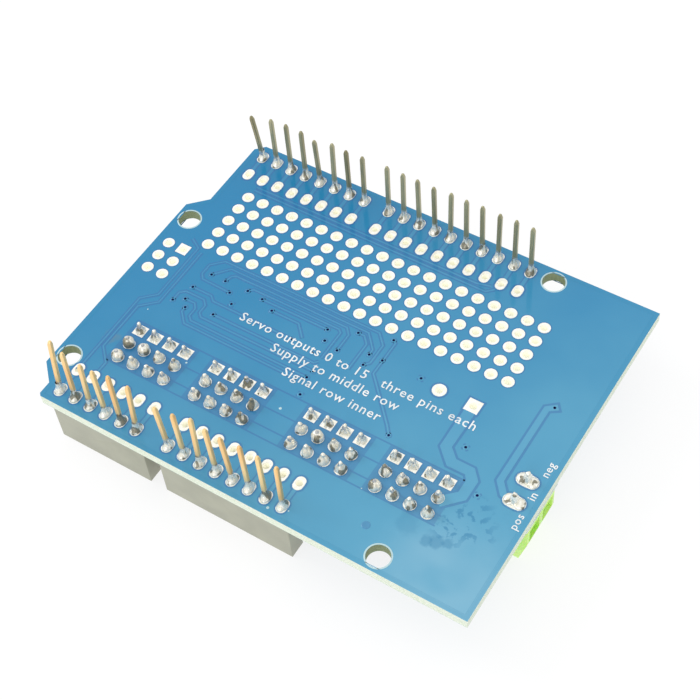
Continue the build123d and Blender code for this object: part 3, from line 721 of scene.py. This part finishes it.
def band(axis, start, end, first, last):
    """A grey that goes evenly from a first shade to a last one along an axis of the sky."""
    along = sky.node("ShaderNodeSeparateXYZ", {}, {0: gaze}, axis)
    inputs = {"Value": along, "From Min": start, "From Max": end, "To Min": first, "To Max": last}
    return sky.node("ShaderNodeMapRange", {}, inputs)


grey = band("Z", 0.0, 0.7, 0.8, 1.0) * band("X", 0.25, 0.95, 1.0, 0.5)
sky.feed(sky.tree.nodes["Background"].inputs["Color"], grey)
print("floor and sky made")


# %% Soft boxes
def soft_box(name, place, size, power):
    """A square area light that faces the middle of the board."""
    lamp = bpy.data.lights.new(name, "AREA")
    lamp.size = size
    lamp.energy = power
    light = show(name, lamp)
    light.location = place
    aim = Vector((0, 0, FACE * MM)) - light.location
    light.rotation_euler = aim.to_track_quat("-Z", "Y").to_euler()


soft_box("key", (-0.62, -0.05, 0.50), 0.30, 1.3)
soft_box("front", (0.10, -0.60, 0.35), 0.40, 0.7)
soft_box("right", (0.60, 0.20, 0.40), 0.30, 0.35)
print("three soft boxes lit")

# %% [markdown]
# ## Copper under the mask
#
# A trace shows through the lacquer as a low ridge between two grooves, because the copper around
# it was etched away. So each route is drawn twice: a wide flat strip of bare-board colour, and the
# trace itself standing on it. The routes are drawn as a board designer would, in mils.

# %% Thin signal traces
THIN_ROUTES = [
    [(2500, 1290), (2430, 1250), (2430, 870), (2505, 800), (2505, 250)],
    [(2395, 1230), (2395, 830), (2480, 750), (2480, 440), (2400, 360), (2400, 250)],
    [(2255, 1129), (2180, 1215), (1290, 1215), (1213, 1130), (1213, 1094)],
    [(2094, 1073), (2280, 1080), (2305, 1110), (2305, 1180), (2240, 1245), (1240, 1243),
     (1180, 1180), (1180, 1050), (1206, 1022)],
    [(2161, 1128), (2150, 1170), (2130, 1188), (1410, 1188), (1375, 1150), (1375, 1033)],
    [(2014, 1132), (1990, 1157), (1440, 1157), (1420, 1140), (1420, 950)],
    [(1913, 1123), (1492, 1125)],
    [(1824, 1083), (1650, 1083), (1580, 1010)],
    [(2295, 1007), (2170, 1007), (2140, 980), (1621, 977)],
    [(2283, 919), (2220, 920), (2195, 890), (2195, 835), (2170, 812), (1419, 808)],
    [(2249, 871), (2249, 840), (2190, 778), (1466, 773)],
    [(2339, 880), (2339, 940), (2310, 965), (2190, 965), (2160, 935), (2160, 880), (2135, 857),
     (1409, 858)],
    [(2087, 905), (1440, 905), (1420, 925)],
    [(1338, 1187), (1300, 1187), (1260, 1145), (1260, 960)],
    [(1149, 1238), (1130, 1225), (1130, 1000), (1090, 960), (900, 760), (863, 713)],
    [(2400, 1790), (960, 1790), (880, 1810)],
    [(2400, 1763), (980, 1763), (890, 1763), (850, 1800)],
]
GROOVE = 0.006                      # height of the flat under-strip, in millimetres
RIDGE = 0.03
TRACE = 10 * MIL
GAP = 8 * MIL
HAIR = 0.002                        # lifts a strip just clear of the face


def lay(name, routes, width, height, finish, lift=HAIR, under=False, closed=False):
    """File strips along mil routes as a piece of lacquer on one face of the board."""
    shape = strips(routes, width, height, FACE + lift, closed)
    file_piece(name, to_underside(shape) if under else shape, finish)


lay("thin_trace_grooves", THIN_ROUTES, TRACE + 2 * GAP, GROOVE, groove_finish)
lay("thin_traces", THIN_ROUTES, TRACE, RIDGE, ridge_finish)

# %% Short traces from each header pin to its spare hole
LINK = 20 * MIL
END_SHARE = 0.44                    # of a land's length, so that a link stops inside the land
link_routes = []
for pin in lands["header_lands"]:
    spare = min(lands["second_row_lands"], key=lambda land: (land["at"] - pin["at"]).length)
    step = (spare["at"] - pin["at"]).normalized()
    near = pin["at"] + step * pin["size"].y * END_SHARE
    far = spare["at"] - step * spare["size"].y * END_SHARE
    link_routes.append([mils_of(near), mils_of(far)])
lay("link_trace_grooves", link_routes, LINK + 2 * GAP, GROOVE, groove_finish)
lay("link_traces", link_routes, LINK, RIDGE / 2, ridge_finish)

# %% Servo rails and bare ground
SERVO_FIRST_COLUMNS = (2365, 1865, 1265, 765)
RAIL_LINES = (673, 546, 440, 378)
RAIL_ENDS = (2420, 400)
RAIL = 9 * MIL
FIELD = 295 * MIL                   # width of the bare ground round one block of servo pins
field_routes = [[(first + 58, 525), (first - 358, 525)] for first in SERVO_FIRST_COLUMNS]
lay("servo_bare_ground", field_routes, FIELD, GROOVE, bare_finish, HAIR / 2)
rail_routes = [[(RAIL_ENDS[0], y), (RAIL_ENDS[1], y)] for y in RAIL_LINES]
lay("servo_rail_grooves", rail_routes, RAIL, GROOVE, groove_finish)

# %% [markdown]
# ## The rim of the copper pour
#
# The copper pour stops short of the cut edge, so a rim of slightly different blue runs all round
# the board, with a fine groove on its inner side. Both follow the outline, moved inwards.

# %% The edge of the copper pour
POUR_INSET = 42
POUR_LINE = 5 * MIL
UNDER_POUR_LINE = 7 * MIL
POUR_OUTLINE = [
    (0, 0), (0, 2100), (2540, 2100), (2600, 2040), (2600, 1590),
    (2700, 1490), (2700, 200), (2600, 100), (2600, 24), (2576, 0),
]


def inset_outline(outline, inset):
    """Move every corner of a mil outline inwards by the same distance from both its sides."""
    places = [Vector(place) for place in outline]
    moved_in = []
    for before, here, after in zip(places[-1:] + places[:-1], places, places[1:] + places[:1]):
        sides = [(here - before).normalized(), (after - here).normalized()]
        inward = [Vector((side.y, -side.x)) for side in sides]
        half = (inward[0] + inward[1]).normalized()
        moved_in.append(here + half * (inset / half.dot(inward[0])))
    return [tuple(place) for place in moved_in]


cut_inset = ROUTER_MARGIN / MIL
rim_middle = inset_outline(POUR_OUTLINE, (POUR_INSET + cut_inset) / 2)
rim_width = (POUR_INSET - cut_inset - 1) * MIL
lay("pour_rim", [rim_middle], rim_width, GROOVE, rim_finish, HAIR / 2, closed=True)
pour_edge = [inset_outline(POUR_OUTLINE, POUR_INSET)]
lay("pour_groove", pour_edge, POUR_LINE, GROOVE, rim_finish, closed=True)

# %% Wide supply traces
SUPPLY_ROUTE = [(580, 1042), (580, 800), (510, 732), (405, 732), (368, 690), (368, 590), (455, 503)]
SUPPLY_WIDTH = 62 * MIL
TERMINAL_ROUTE = [(203, 1286), (250, 1250), (250, 760), (200, 700), (133, 685)]
TERMINAL_WIDTH = 38 * MIL
MOAT = 13 * MIL

for name, route, width in (
    ("supply_trace", SUPPLY_ROUTE, SUPPLY_WIDTH), ("terminal_trace", TERMINAL_ROUTE, TERMINAL_WIDTH)
):
    start, onwards = Vector(route[0]), Vector(route[1])
    past_end = tuple(start + (start - onwards).normalized() * MOAT / MIL)
    lay(f"{name}_moat", [[past_end, *route]], width + 2 * MOAT, GROOVE, groove_finish)
    lay(name, [route], width, RIDGE, ridge_finish)

# %% [markdown]
# ## Lands
#
# A plated hole is an eyelet: a crowned ring of tin on each face, joined by the barrel through the
# hole. It is one spun profile. Oval and square lands are the same ring with its outer loops pulled
# out, which keeps the hole round. The size, hole and place of each come from its CAD solid, and
# lands of the same kind are stamped from one template. A ring of etched ground, where the lacquer
# looks darker, lies round each land.

# %% Eyelets
CROWN = 0.045                       # height of the tin above the face
LAND_STEPS = 16


def pull_out(ring, land, round_within=0.0):
    """Give a round ring the oval or square outline of a land, but leave its middle round."""
    size, radius = land["size"], min(land["size"].xy) / 2
    for vertex in ring.verts:
        if vertex.co.xy.length < round_within:
            continue
        if land["square"]:
            vertex.co.xy /= max(abs(c) for c in vertex.co.xy.normalized())
        for i, stretch in enumerate((size.x / 2 - radius, size.y / 2 - radius)):
            if abs(vertex.co[i]) > 0.01:
                vertex.co[i] += math.copysign(stretch, vertex.co[i])
    return keep_mesh(ring)


def eyelet(land):
    """One plated hole with its two lands, centred on the origin in plan."""
    radius, hole = min(land["size"].xy) / 2, land["hole"]
    shoulder, bead = radius - 0.03, hole + 0.05
    profile = [
        (radius, FACE - SKIN), (shoulder, FACE + CROWN), (bead, FACE + CROWN), (hole, FACE - 0.03),
        (hole, UNDER + 0.03), (bead, UNDER - CROWN), (shoulder, UNDER - CROWN), (radius, UNDER + SKIN),
    ]
    return pull_out(lathe(profile, LAND_STEPS, closed=True), land, (shoulder + bead) / 2)


def stamp_lands(shape, found, template_for):
    """Stamp a template at every land, made afresh only for a new kind of land."""
    made = {}
    for land in found:
        kind = (round(land["size"].x, 2), round(land["size"].y, 2), land["square"])
        if kind not in made:
            made[kind] = template_for(land)
        stamp(shape, made[kind], moved(*land["at"].xy))


for node, found in lands.items():
    plated = bmesh.new()
    stamp_lands(plated, found, eyelet)
    file_piece(f"{node}_tin", plated, tin_finish, stands_for=[node])

# %% Bare rings round the lands
RING_GAP = {                        # how far the bare ring reaches past each kind of land
    "header_lands": 0.2, "second_row_lands": 0.26, "terminal_lands": 0.2, "capacitor_lands": 0.26,
    "prototype_lands": 0.13, "programming_lands": 0.1, "servo_lands": 0.16,
}


def washer(inner, outer, steps, level=0.0, slope=0.01):
    """A flat ring as high as a groove strip."""
    top = level + GROOVE
    profile = [(inner, level), (inner, top), (outer, top), (outer + slope, level)]
    return lathe(profile, steps, closed=True)


def bare_ring(land, gap):
    """A flat ring of etched ground just outside a land."""
    radius = min(land["size"].xy) / 2
    return pull_out(washer(radius - 0.05, radius + gap, 24, FACE + 2 * HAIR, GROOVE), land)


rings = bmesh.new()
for node, gap in RING_GAP.items():
    stamp_lands(rings, lands[node], lambda land: bare_ring(land, gap))
file_piece("etched_rings", rings, groove_finish)

# %% [markdown]
# ## Vias
#
# A via is a tiny plated hole under the mask: a low ring, with a dark disc in it as painted shade
# for the pit of its hole. A few sit in the copper pour, joined to it by four spokes, so four dark
# petals of bare board show round them.

# %% Vias and their petals
VIA_PLACES = [
    (2255, 1129), (2161, 1128), (2014, 1132), (1913, 1123), (1824, 1083), (2094, 1073), (2295, 1007),
    (2283, 919), (2087, 905), (2339, 880), (2249, 871), (1492, 1125), (1466, 1055), (1375, 1033),
    (1338, 1187), (1621, 977), (1480, 956), (1213, 1094), (1206, 1022), (1133, 1095), (1149, 1238),
    (1409, 858), (1419, 808), (1466, 773), (863, 713), (218, 1275),
]
POUR_VIAS = [(899, 1097), (492, 844), (306, 629), (1390, 700), (2041, 1013)]
ALL_VIAS = VIA_PLACES + POUR_VIAS
VIA_LEVEL = FACE + 3 * HAIR
via_ring = keep_mesh(lathe([(0.19, 0), (0.2, 0.036), (0.29, 0.032), (0.36, 0.0)], 12, closed=True))
# the via's pit is a dark disc, painted shade for its hole
via_shade_disc = keep_mesh(lathe([(0.0, 0.034), (0.2, 0.038), (0.21, 0.0), (0.0, 0.0)], 10, closed=True))
via_halo = keep_mesh(washer(0.3, 0.46, 14))
file_piece("via_rings", scatter(via_ring, ALL_VIAS, VIA_LEVEL), ridge_finish)
file_piece("via_pits", scatter(via_shade_disc, ALL_VIAS, VIA_LEVEL), hole_shade_finish)
file_piece("via_halos", scatter(via_halo, VIA_PLACES, FACE + HAIR), groove_finish)

petal = bmesh.new()
bmesh.ops.create_circle(petal, cap_ends=True, segments=10, radius=0.14)
grown = bmesh.ops.extrude_face_region(petal, geom=petal.faces[:])["geom"]
upper = [v for v in grown if isinstance(v, bmesh.types.BMVert)]
bmesh.ops.translate(petal, vec=(0, 0, GROOVE), verts=upper)
bmesh.ops.scale(petal, vec=(1.5, 0.75, 1), verts=petal.verts)
petal = keep_mesh(petal)
petals = bmesh.new()
PETAL_REACH = 0.5
for x, y in POUR_VIAS:
    middle = on_board(x, y, FACE + HAIR)
    for quarter in range(4):
        turn = (quarter + 0.5) * math.pi / 2
        reach = Vector((math.cos(turn), math.sin(turn), 0)) * PETAL_REACH
        stamp(petals, petal, moved(*(middle + reach), turn + math.pi / 2))
file_piece("via_petals", petals, groove_finish)

# %% [markdown]
# ## Small marks
#
# The lacquer is thin where it turns down into a bolt hole, so a pale ring shows there. A few specks
# of flux and one bubble in the lacquer are low spun shapes, because a mark that stands up catches
# the light and a painted one doesn't.

# %% Pale rings at the bolt holes
BOLT_RADIUS = 1.6
bolt_ring = keep_mesh(washer(BOLT_RADIUS + 0.01, BOLT_RADIUS + 0.2, 40))
file_piece("bolt_hole_rims", scatter(bolt_ring, BOLT_PLACES, FACE + HAIR), pale_finish)

# %% Flux specks and a bubble in the lacquer
SPECKS = (
    (1431, 577, 0.2), (2025, 572, 0.16), (1159, 56, 0.2), (1060, 92, 0.11), (818, 380, 0.1),
    (1850, 210, 0.1), (1640, 130, 0.08), (2420, 760, 0.1), (560, 400, 0.08), (1225, 615, 0.07),
)
SPECK = [(0.0, 0.35), (0.5, 0.3), (0.85, 0.12), (1.0, 0.0), (0.0, 0.0)]
SPECK_HEIGHT = 0.1
BUBBLE = [(0.0, 0.012), (0.34, 0.012), (0.44, 0.04), (0.52, 0.035), (0.58, 0.0), (0.0, 0.0)]
speck = keep_mesh(lathe(SPECK, 10, closed=True))
specks = bmesh.new()
for x, y, radius in SPECKS:
    spread_out = Matrix.Diagonal((radius, radius, SPECK_HEIGHT, 1))
    stamp(specks, speck, Matrix.Translation(on_board(x, y, FACE)) @ spread_out)
file_piece("flux_specks", specks, pale_finish)
bubble = lathe(BUBBLE, 24, closed=True)
bmesh.ops.translate(bubble, vec=on_board(690, 215, FACE), verts=bubble.verts)
file_piece("lacquer_bubble", bubble, bare_finish)

# %% [markdown]
# ## Solder joints
#
# No two joints are alike. Each is a profile spun in fourteen steps, and a few slow waves round it
# pull its sides in and out, with seeded random numbers so that every run gives the same board. The
# servo pins end in a small bead, because the solder ran right over their tips.

# %% Servo joints
chance = random.Random(7)
JOINT_STEPS = 14
TIP_BEAD = [(0.29, 1.5), (0.22, 1.68), (0.09, 1.76), (0.0, 1.77)]
SQUARE_CONE = [
    (0.80, 0.0), (0.74, 0.08), (0.57, 0.32), (0.44, 0.68), (0.35, 1.0), (0.27, 1.2), (0.28, 1.36),
]
ROUND_CONE = [
    (0.80, 0.0), (0.82, 0.14), (0.74, 0.42), (0.60, 0.74), (0.45, 1.04), (0.31, 1.26), (0.28, 1.38),
]
SERVO_DOME = [
    (0.80, 0.0), (0.86, 0.2), (0.86, 0.5), (0.76, 0.85), (0.56, 1.16), (0.32, 1.34), (0.0, 1.4),
]
FULL_JOINTS = ((2365, 420), (765, 420), (2365, 520), (2265, 520), (1165, 520))


def wobble(fresh, middle, amount, lean):
    """Pull a spun joint in and out with a few slow waves, and lean its upper part."""
    phases = [chance.uniform(0, FULL_TURN) for _ in range(3)]
    strengths = [amount * chance.uniform(0.5, 1.0) for _ in range(3)]
    for vertex in fresh:
        spoke = vertex.co - middle
        around = math.atan2(spoke.y, spoke.x)
        climb = max(0.0, spoke.z)
        swell = 1.0 + sum(
            strength * math.sin((i + 2) * around + phase + 1.5 * climb)
            for i, (strength, phase) in enumerate(zip(strengths, phases)))
        vertex.co.x = middle.x + spoke.x * swell + lean[0] * climb
        vertex.co.y = middle.y + spoke.y * swell + lean[1] * climb


def sway(most):
    """A small random lean along x and y."""
    return (chance.uniform(-most, most), chance.uniform(-most, most))


def joint(shape, template, x, y, amount, lean=(0.0, 0.0), grow=1.0):
    """Stamp a joint on the tin at a place, and make it uneven in its own way."""
    fresh = stamp(shape, template, moved(x, y, foot) @ Matrix.Diagonal((1, 1, grow, 1)))
    wobble(fresh, Vector((x, y, foot)), amount, lean)


def file_joints(kind, shape):
    """File the joints of one kind in place of their node."""
    node = f"{kind}_solder"
    file_piece(f"{node}_joints", shape, solder_finish, stands_for=[node], smooth=60)


square_cone = keep_mesh(lathe(SQUARE_CONE + TIP_BEAD, JOINT_STEPS))
round_cone = keep_mesh(lathe(ROUND_CONE + TIP_BEAD, JOINT_STEPS))
dome = keep_mesh(lathe(SERVO_DOME, JOINT_STEPS))
servo_joints = bmesh.new()
foot = FACE + CROWN - SKIN          # the height at which the solder sits on the tin
full_spots = [on_board(*place) for place in FULL_JOINTS]
for land in lands["servo_lands"]:
    full = any((land["at"].xy - spot.xy).length < 0.5 for spot in full_spots)
    cone = square_cone if land["square"] else round_cone
    grow = chance.uniform(0.93, 1.02)
    if full:
        joint(servo_joints, dome, *land["at"].xy, 0.03, sway(0.05))
    else:
        joint(servo_joints, cone, *land["at"].xy, 0.075, sway(0.05), grow)
file_joints("servo", servo_joints)

# %% Header joints
HEADER_FILLET = [
    (0.70, 0.0), (0.71, 0.08), (0.66, 0.26), (0.56, 0.5), (0.47, 0.78), (0.41, 1.05), (0.375, 1.4),
    (0.345, 1.75),
]
header_joints = bmesh.new()
fillet = lathe(HEADER_FILLET, JOINT_STEPS)
for vertex in fillet.verts:
    if vertex.co.xy.length > 0.5:       # the toe spreads along the oval land
        vertex.co.y *= 1 + 0.4 * (vertex.co.xy.length - 0.5) / 0.2
fillet = keep_mesh(fillet)
for land in lands["header_lands"]:
    joint(header_joints, fillet, *land["at"].xy, 0.035, sway(0.03))
file_joints("header", header_joints)

# %% Terminal joints
TERMINAL_CORE = [
    (0.62, 0.0), (0.55, 0.3), (0.42, 0.75), (0.34, 1.2), (0.29, 1.5), (0.33, 1.66), (0.3, 1.82),
    (0.16, 1.93), (0.0, 1.95),
]
LOBE = (0.78, 0.92, 0.42)           # half sizes of the puddle of solder on each side
LOBE_REACH = 0.72
terminal_joints = bmesh.new()
core = keep_mesh(lathe(TERMINAL_CORE, JOINT_STEPS))
lobe = bmesh.new()
bmesh.ops.create_uvsphere(lobe, u_segments=16, v_segments=10, radius=1.0)
bmesh.ops.scale(lobe, vec=LOBE, verts=lobe.verts)
lobe = keep_mesh(lobe)
for land in lands["terminal_lands"]:
    x, y = land["at"].xy
    joint(terminal_joints, core, x, y, 0.12)
    for way in (-1, 1):
        joint(terminal_joints, lobe, x + way * LOBE_REACH, y, 0.04)
file_joints("terminal", terminal_joints)

# %% [markdown]
# ## Long header pins
#
# Each stacking contact is a square pin that goes through the board, and two springs that grip the
# next board's pin. The pins have been handled, so they lean: the list says how far each tip has
# moved, in millimetres. A pin is a post grown upwards with its edges softened.

# %% Contacts
PIN = 0.62
PIN_BEVEL = 0.11
TIP_WIDTH = 0.34
TAPER = 0.6                         # length over which a pin narrows to its tip
LEANS = {
    "analog_header": [(-0.3, 1.2), (-0.3, 0.5), (0.4, 0.1), (-0.2, 0.1), (-0.5, 0.5), (0.1, 0.5)],
    "power_header": [(-0.1, -0.4), (-0.1, -0.1), (-0.3, 0.5), (-0.4, 0.1), (-0.6, 0.0), (-0.4, 0.2),
                     (-0.2, 0.1), (0.1, 0.0)],
    "digital_header_low": [(-0.3, -0.9), (0.0, -0.1), (-0.1, 0.1), (0.0, 0.0), (0.1, -0.6), (0.1, 0.1),
                           (0.0, -0.1), (0.1, 0.0)],
    "digital_header_high": [(0.0, 0.1), (0.1, 0.0), (-0.1, 0.0), (0.0, -0.1), (0.1, 0.1), (0.0, 0.0),
                            (-0.1, 0.1), (0.1, 0.0), (0.0, 0.1), (0.0, 0.0)],
}
PIN_TIP = max(box_mm(f"{name}_contacts")[1].z for name in LEANS)
SEAT = UNDER - 0.9                  # the contact's seat, above its socket
SPRING_LOW = SEAT - 5.6
SPRING_HEIGHTS = (SEAT, SEAT - 1.2, SEAT - 3.6, SEAT - 4.6, SPRING_LOW)
SPRING_PLACES = (0.44, 0.43, 0.33, 0.35, 0.45)     # from the middle: waisted, then flared


def long_pin(lean_x, lean_y):
    """A square pin that starts to lean where the solder lets it go."""
    free = PIN_TIP - FACE

    def section(height, width):
        share = max(0.0, (height - FACE) / free) ** 1.15
        return (height, width, width, lean_x * share, lean_y * share)

    heights = [SEAT, UNDER, FACE + 0.6, FACE + 3.4, FACE + 6.2, PIN_TIP - TAPER]
    sections = [section(h, PIN) for h in heights] + [section(PIN_TIP, TIP_WIDTH)]
    return keep_mesh(soften(post(sections), PIN_BEVEL, 1, 50))


def spring(way):
    """One leaf of the socket: waisted to grip, flared at its mouth."""
    sections = [(h, 0.8, 0.16, 0.0, way * y) for h, y in zip(SPRING_HEIGHTS, SPRING_PLACES)]
    return keep_mesh(post(sections))


springs = [spring(way) for way in (-1, 1)]
for name, leans in LEANS.items():
    shape = bmesh.new()
    for contact, lean in zip(solids_of(f"{name}_contacts"), leans):
        spot = moved(*contact["at"].xy)
        stamp(shape, long_pin(*lean), spot)
        for leaf in springs:
            stamp(shape, leaf, spot)
    # the digital headers' pins take the painted-shade copy of the gilt
    finish = shaded_gilt_finish if name.startswith("digital") else gilt_finish
    file_piece(f"{name}_pins", shape, finish, stands_for=[f"{name}_contacts"])

# %% [markdown]
# ## Moulded bodies
#
# Plastic from a mould has no knife edges. A cast of the CAD node is welded, its outer edges are
# rounded by about a tenth of a millimetre, and then they catch the light as the real ones do.

# %% Header bodies
for name in LEANS:
    block = rounded_cast(name, 0.08)
    file_piece(f"{name}_body", block, grey_finish, stands_for=[name])

# %% Servo header strips and pins
STRIP_FINISHES = {
    "signal": (yellow_finish, "strip_yellow"),
    "supply": (red_finish, "strip_red"),
    "ground": (black_finish, "strip_black"),
}
low, high = (corner.z for corner in box_mm("servo_pins_1"))
servo_pin = post([
    (low, TIP_WIDTH, TIP_WIDTH), (low + TAPER, PIN, PIN),
    (high - TAPER, PIN, PIN), (high, TIP_WIDTH, TIP_WIDTH)])
servo_pin = keep_mesh(soften(servo_pin, PIN_BEVEL, 1, 50))
for group in range(1, 5):
    for row, (finish, slot) in STRIP_FINISHES.items():
        node = f"servo_{row}_strip_{group}"
        file_piece(f"{node}_moulding", rounded_cast(node, 0.07), finish, stands_for=[node])
    node = f"servo_pins_{group}"
    shape = bmesh.new()
    for pin in solids_of(node):
        stamp(shape, servo_pin, moved(*pin["at"].xy))
    file_piece(f"{node}_gilt", shape, gilt_finish, stands_for=[node])

# %% Terminal block
block = rounded_cast("terminal_housing", 0.1)
file_piece("terminal_block", block, green_finish, stands_for=["terminal_housing"])

# %% [markdown]
# ## Finishes for the nodes that stay
#
# Screws, clamps and the small parts under the board are already right in the CAD model, so they
# keep their meshes and only get their finishes.

# %% Give the remaining nodes their finishes
NODE_FINISHES = {
    steel_finish: ["terminal_screw_1", "terminal_screw_2", "button_cover"],
    brass_finish: ["terminal_clamp_1", "terminal_clamp_2"],
    tin_finish: ["terminal_contact_1", "terminal_contact_2", "surface_lands", "address_lands",
                 "resistor_array_ends", "chip_part_ends", "driver_chip_leads", "transistor_leads",
                 "button_leads"],
    moulding_finish: ["driver_chip", "polarity_transistor", "button_base", "button_plunger"],
    resistor_finish: ["resistor_arrays", "chip_resistors"],
    ceramic_finish: ["chip_capacitors"],
    white_finish: ["led_base"],
    lens_finish: ["led_lens"],
}
for finish, names in NODE_FINISHES.items():
    for name in names:
        paint_node(name, finish)
print("finished", sum(len(names) for names in NODE_FINISHES.values()), "nodes")

# %% [markdown]
# ## The snap disc
#
# The domed disc inside the button is the one part that bends in use. It lies on the floor of the
# button and flattens as the plunger comes towards it; here its piece only gets a mesh of its own.

# %% A snap disc with a mesh of its own
disc = cast_of("button_dome")
disc = file_piece("snap_disc", disc, steel_finish, stands_for=["button_dome"])
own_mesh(disc)

# %% [markdown]
# ## Lettering
#
# The white ink is printed, so it has a thickness. Each line is a text curve turned into a mesh and
# laid on the face. The words are plain ones.

# %% Print the words
INK = 0.02
LIFT = 0.04                         # middle of the ink above the face
CAPITAL_SHARE = 0.73                # of the size of the type, which is what a capital takes
BOLD = 0.015
SPACING = 1.12


def write(shape, words, start, capital, turn=0.0, under=False):
    """Add a line of lettering from its lower left corner, or on the underside from its middle."""
    text = bpy.data.curves.new("words", "FONT")
    text.body = words
    text.size = capital * MIL / CAPITAL_SHARE
    text.space_character = SPACING
    text.offset = BOLD
    text.extrude = INK / 2
    text.resolution_u = 2
    text.align_x = "CENTER" if under else "LEFT"
    place = moved(*on_board(*start, FACE + LIFT))
    if under:
        place = moved(*on_board(*start, UNDER - LIFT)) @ Matrix.Rotation(math.pi, 4, "Y")
    stamp(shape, drawn_mesh(text), place @ Matrix.Rotation(turn, 4, "Z"))


printed = bmesh.new()
for words, start in (
    ("Servo outputs 0 to 15   three pins each", (1950, 948)),
    ("Supply to middle row", (1690, 858)),
    ("Signal row inner", (1550, 758)),
):
    write(printed, words, start, 58)
for words, start in (("pos", (50, 548)), ("in", (50, 735)), ("neg", (54, 884))):
    write(printed, words, start, 44, math.pi / 2)
file_piece("printed_words", printed, ink_finish, smooth=20)

# %% [markdown]
# ## The component side
#
# In use this side is up, so it carries the labels that a person wires by: a number for each servo
# output, a sign for each row, a name for each header pin. White outlines show where parts sit.
# Traces, vias and outlines are drawn as if on the solder face and then mirrored through the board.
# The words are turned over instead, because mirrored words wouldn't read.

# %% Traces under the board
ARRAY_Y = 785
ARRAY_PITCH = 31.5
COLUMN_PITCH = 100
fans = []
for first in SERVO_FIRST_COLUMNS:
    middle = first - 1.5 * COLUMN_PITCH
    for step in (-1.5, -0.5, 0.5, 1.5):
        column, end = middle + step * COLUMN_PITCH, middle + step * ARRAY_PITCH
        fans.append([(column, 650), (column, 690 - abs(step) * 10), (end, 735), (end, 755)])
UNDER_ROUTES = fans + [
    [(1430, 1115), (1800, 1115), (1850, 1165)],
    [(1430, 1090), (1870, 1090), (1929, 1150), (1929, 1165)],
    [(1430, 1064), (1940, 1064), (2008, 1130), (2008, 1165)],
    [(1174, 1166), (1130, 1192), (800, 1192), (750, 1250), (750, 1810), (740, 1840)],
    [(1174, 1141), (1120, 1168), (870, 1168), (850, 1200), (850, 1810), (840, 1840)],
    [(1174, 1115), (470, 1115), (350, 1195)], [(315, 1235), (315, 1200)], [(200, 1250), (280, 1290)],
    [(1174, 859), (1000, 859), (960, 820), (960, 560), (915, 500)],
    [(330, 1760), (420, 1700), (420, 1780), (620, 1830)],
]
WIDE_UNDER = [
    [(150, 826), (300, 826), (345, 870)],
    [(560, 920), (640, 900), (860, 900), (900, 860), (900, 500)],
]
WIDE = 60 * MIL
lay("under_trace_grooves", UNDER_ROUTES, TRACE + 2 * GAP, GROOVE, groove_finish, under=True)
lay("under_traces", UNDER_ROUTES, TRACE, RIDGE, ridge_finish, under=True)
lay("under_supply_moats", WIDE_UNDER, WIDE + 2 * MOAT, GROOVE, groove_finish, HAIR / 2, under=True)
lay("under_supply_traces", WIDE_UNDER, WIDE, RIDGE, ridge_finish, under=True)
lay("under_pour_groove", pour_edge, UNDER_POUR_LINE, GROOVE, groove_finish, under=True, closed=True)
under_rings = to_underside(scatter(via_ring, ALL_VIAS, VIA_LEVEL))
file_piece("under_via_rings", under_rings, ridge_finish)
under_pits = to_underside(scatter(via_shade_disc, ALL_VIAS, VIA_LEVEL))
file_piece("under_via_pits", under_pits, hole_shade_finish)

# %% Outlines of the parts
OUTLINE_LINE = 8 * MIL


def frame_of(x, y, half_x, half_y):
    """The four corners of a rectangle about a mil place."""
    left, right, bottom, top = x - half_x, x + half_x, y - half_y, y + half_y
    return [(left, bottom), (right, bottom), (right, top), (left, top)]


outlines = [frame_of(first - 150, 520, 212, 164) for first in SERVO_FIRST_COLUMNS]
outlines += [frame_of(first - 150, ARRAY_Y, 76, 46) for first in SERVO_FIRST_COLUMNS]
outlines += [
    frame_of(1300, 1000, 152, 212), frame_of(450, 921, 132, 112),       # chip, transistor
    frame_of(150, 757, 136, 160), frame_of(165, 1217, 34, 58),          # terminals, light
]
for body in LEANS:
    (left, bottom), (right, top) = (mils_of(corner) for corner in box_mm(body))
    middle = ((left + right) / 2, (bottom + top) / 2)
    outlines.append(frame_of(*middle, abs(right - left) / 2 + 9, 58))
outline_shape = to_underside(strips(outlines, OUTLINE_LINE, INK, FACE + HAIR, closed=True))
file_piece("part_outlines", outline_shape, ink_finish, smooth=20)

# %% Labels
DIGITAL_NAMES = 1905                # the lines on which the pin names stand
ANALOG_NAMES = 164
labels = bmesh.new()


def name_row(names, first, step, y, capital):
    """Label a row of pins from a first place, one step apart."""
    for i, name in enumerate(names):
        write(labels, str(name), (first + i * step, y), capital, under=True)


columns = sorted(first - i * COLUMN_PITCH for first in SERVO_FIRST_COLUMNS for i in range(4))
for number, x in enumerate(columns):
    write(labels, str(number), (x, 692), 36, under=True)
for x in (2460, 1415):
    for sign, y in (("S", 600), ("+", 500), ("-", 400)):
        write(labels, sign, (x, y), 46, under=True)
name_row(range(8), 2500, -100, DIGITAL_NAMES, 32)
name_row(range(8, 14), 1640, -100, DIGITAL_NAMES, 32)
name_row(("GND", "REF", "SDA", "SCL"), 1040, -100, DIGITAL_NAMES, 26)
name_row([f"A{number}" for number in range(6)], 2000, 100, ANALOG_NAMES, 30)
name_row(("Vin", "GND", "GND", "5V", "3V3", "RST", "IO"), 1800, -100, ANALOG_NAMES, 26)
for words, place, capital in (
    ("RESET", (220, 1668), 40), ("ADDRESS", (1640, 1188), 38), ("ON", (165, 1300), 34),
    ("+", (318, 815), 46), ("-", (318, 680), 46), ("0", (1850, 1120), 26),
    ("5", (2244, 1120), 26), ("Servo power", (480, 1010), 40),
):
    write(labels, words, place, capital, under=True)
file_piece("component_side_labels", labels, ink_finish, smooth=20)
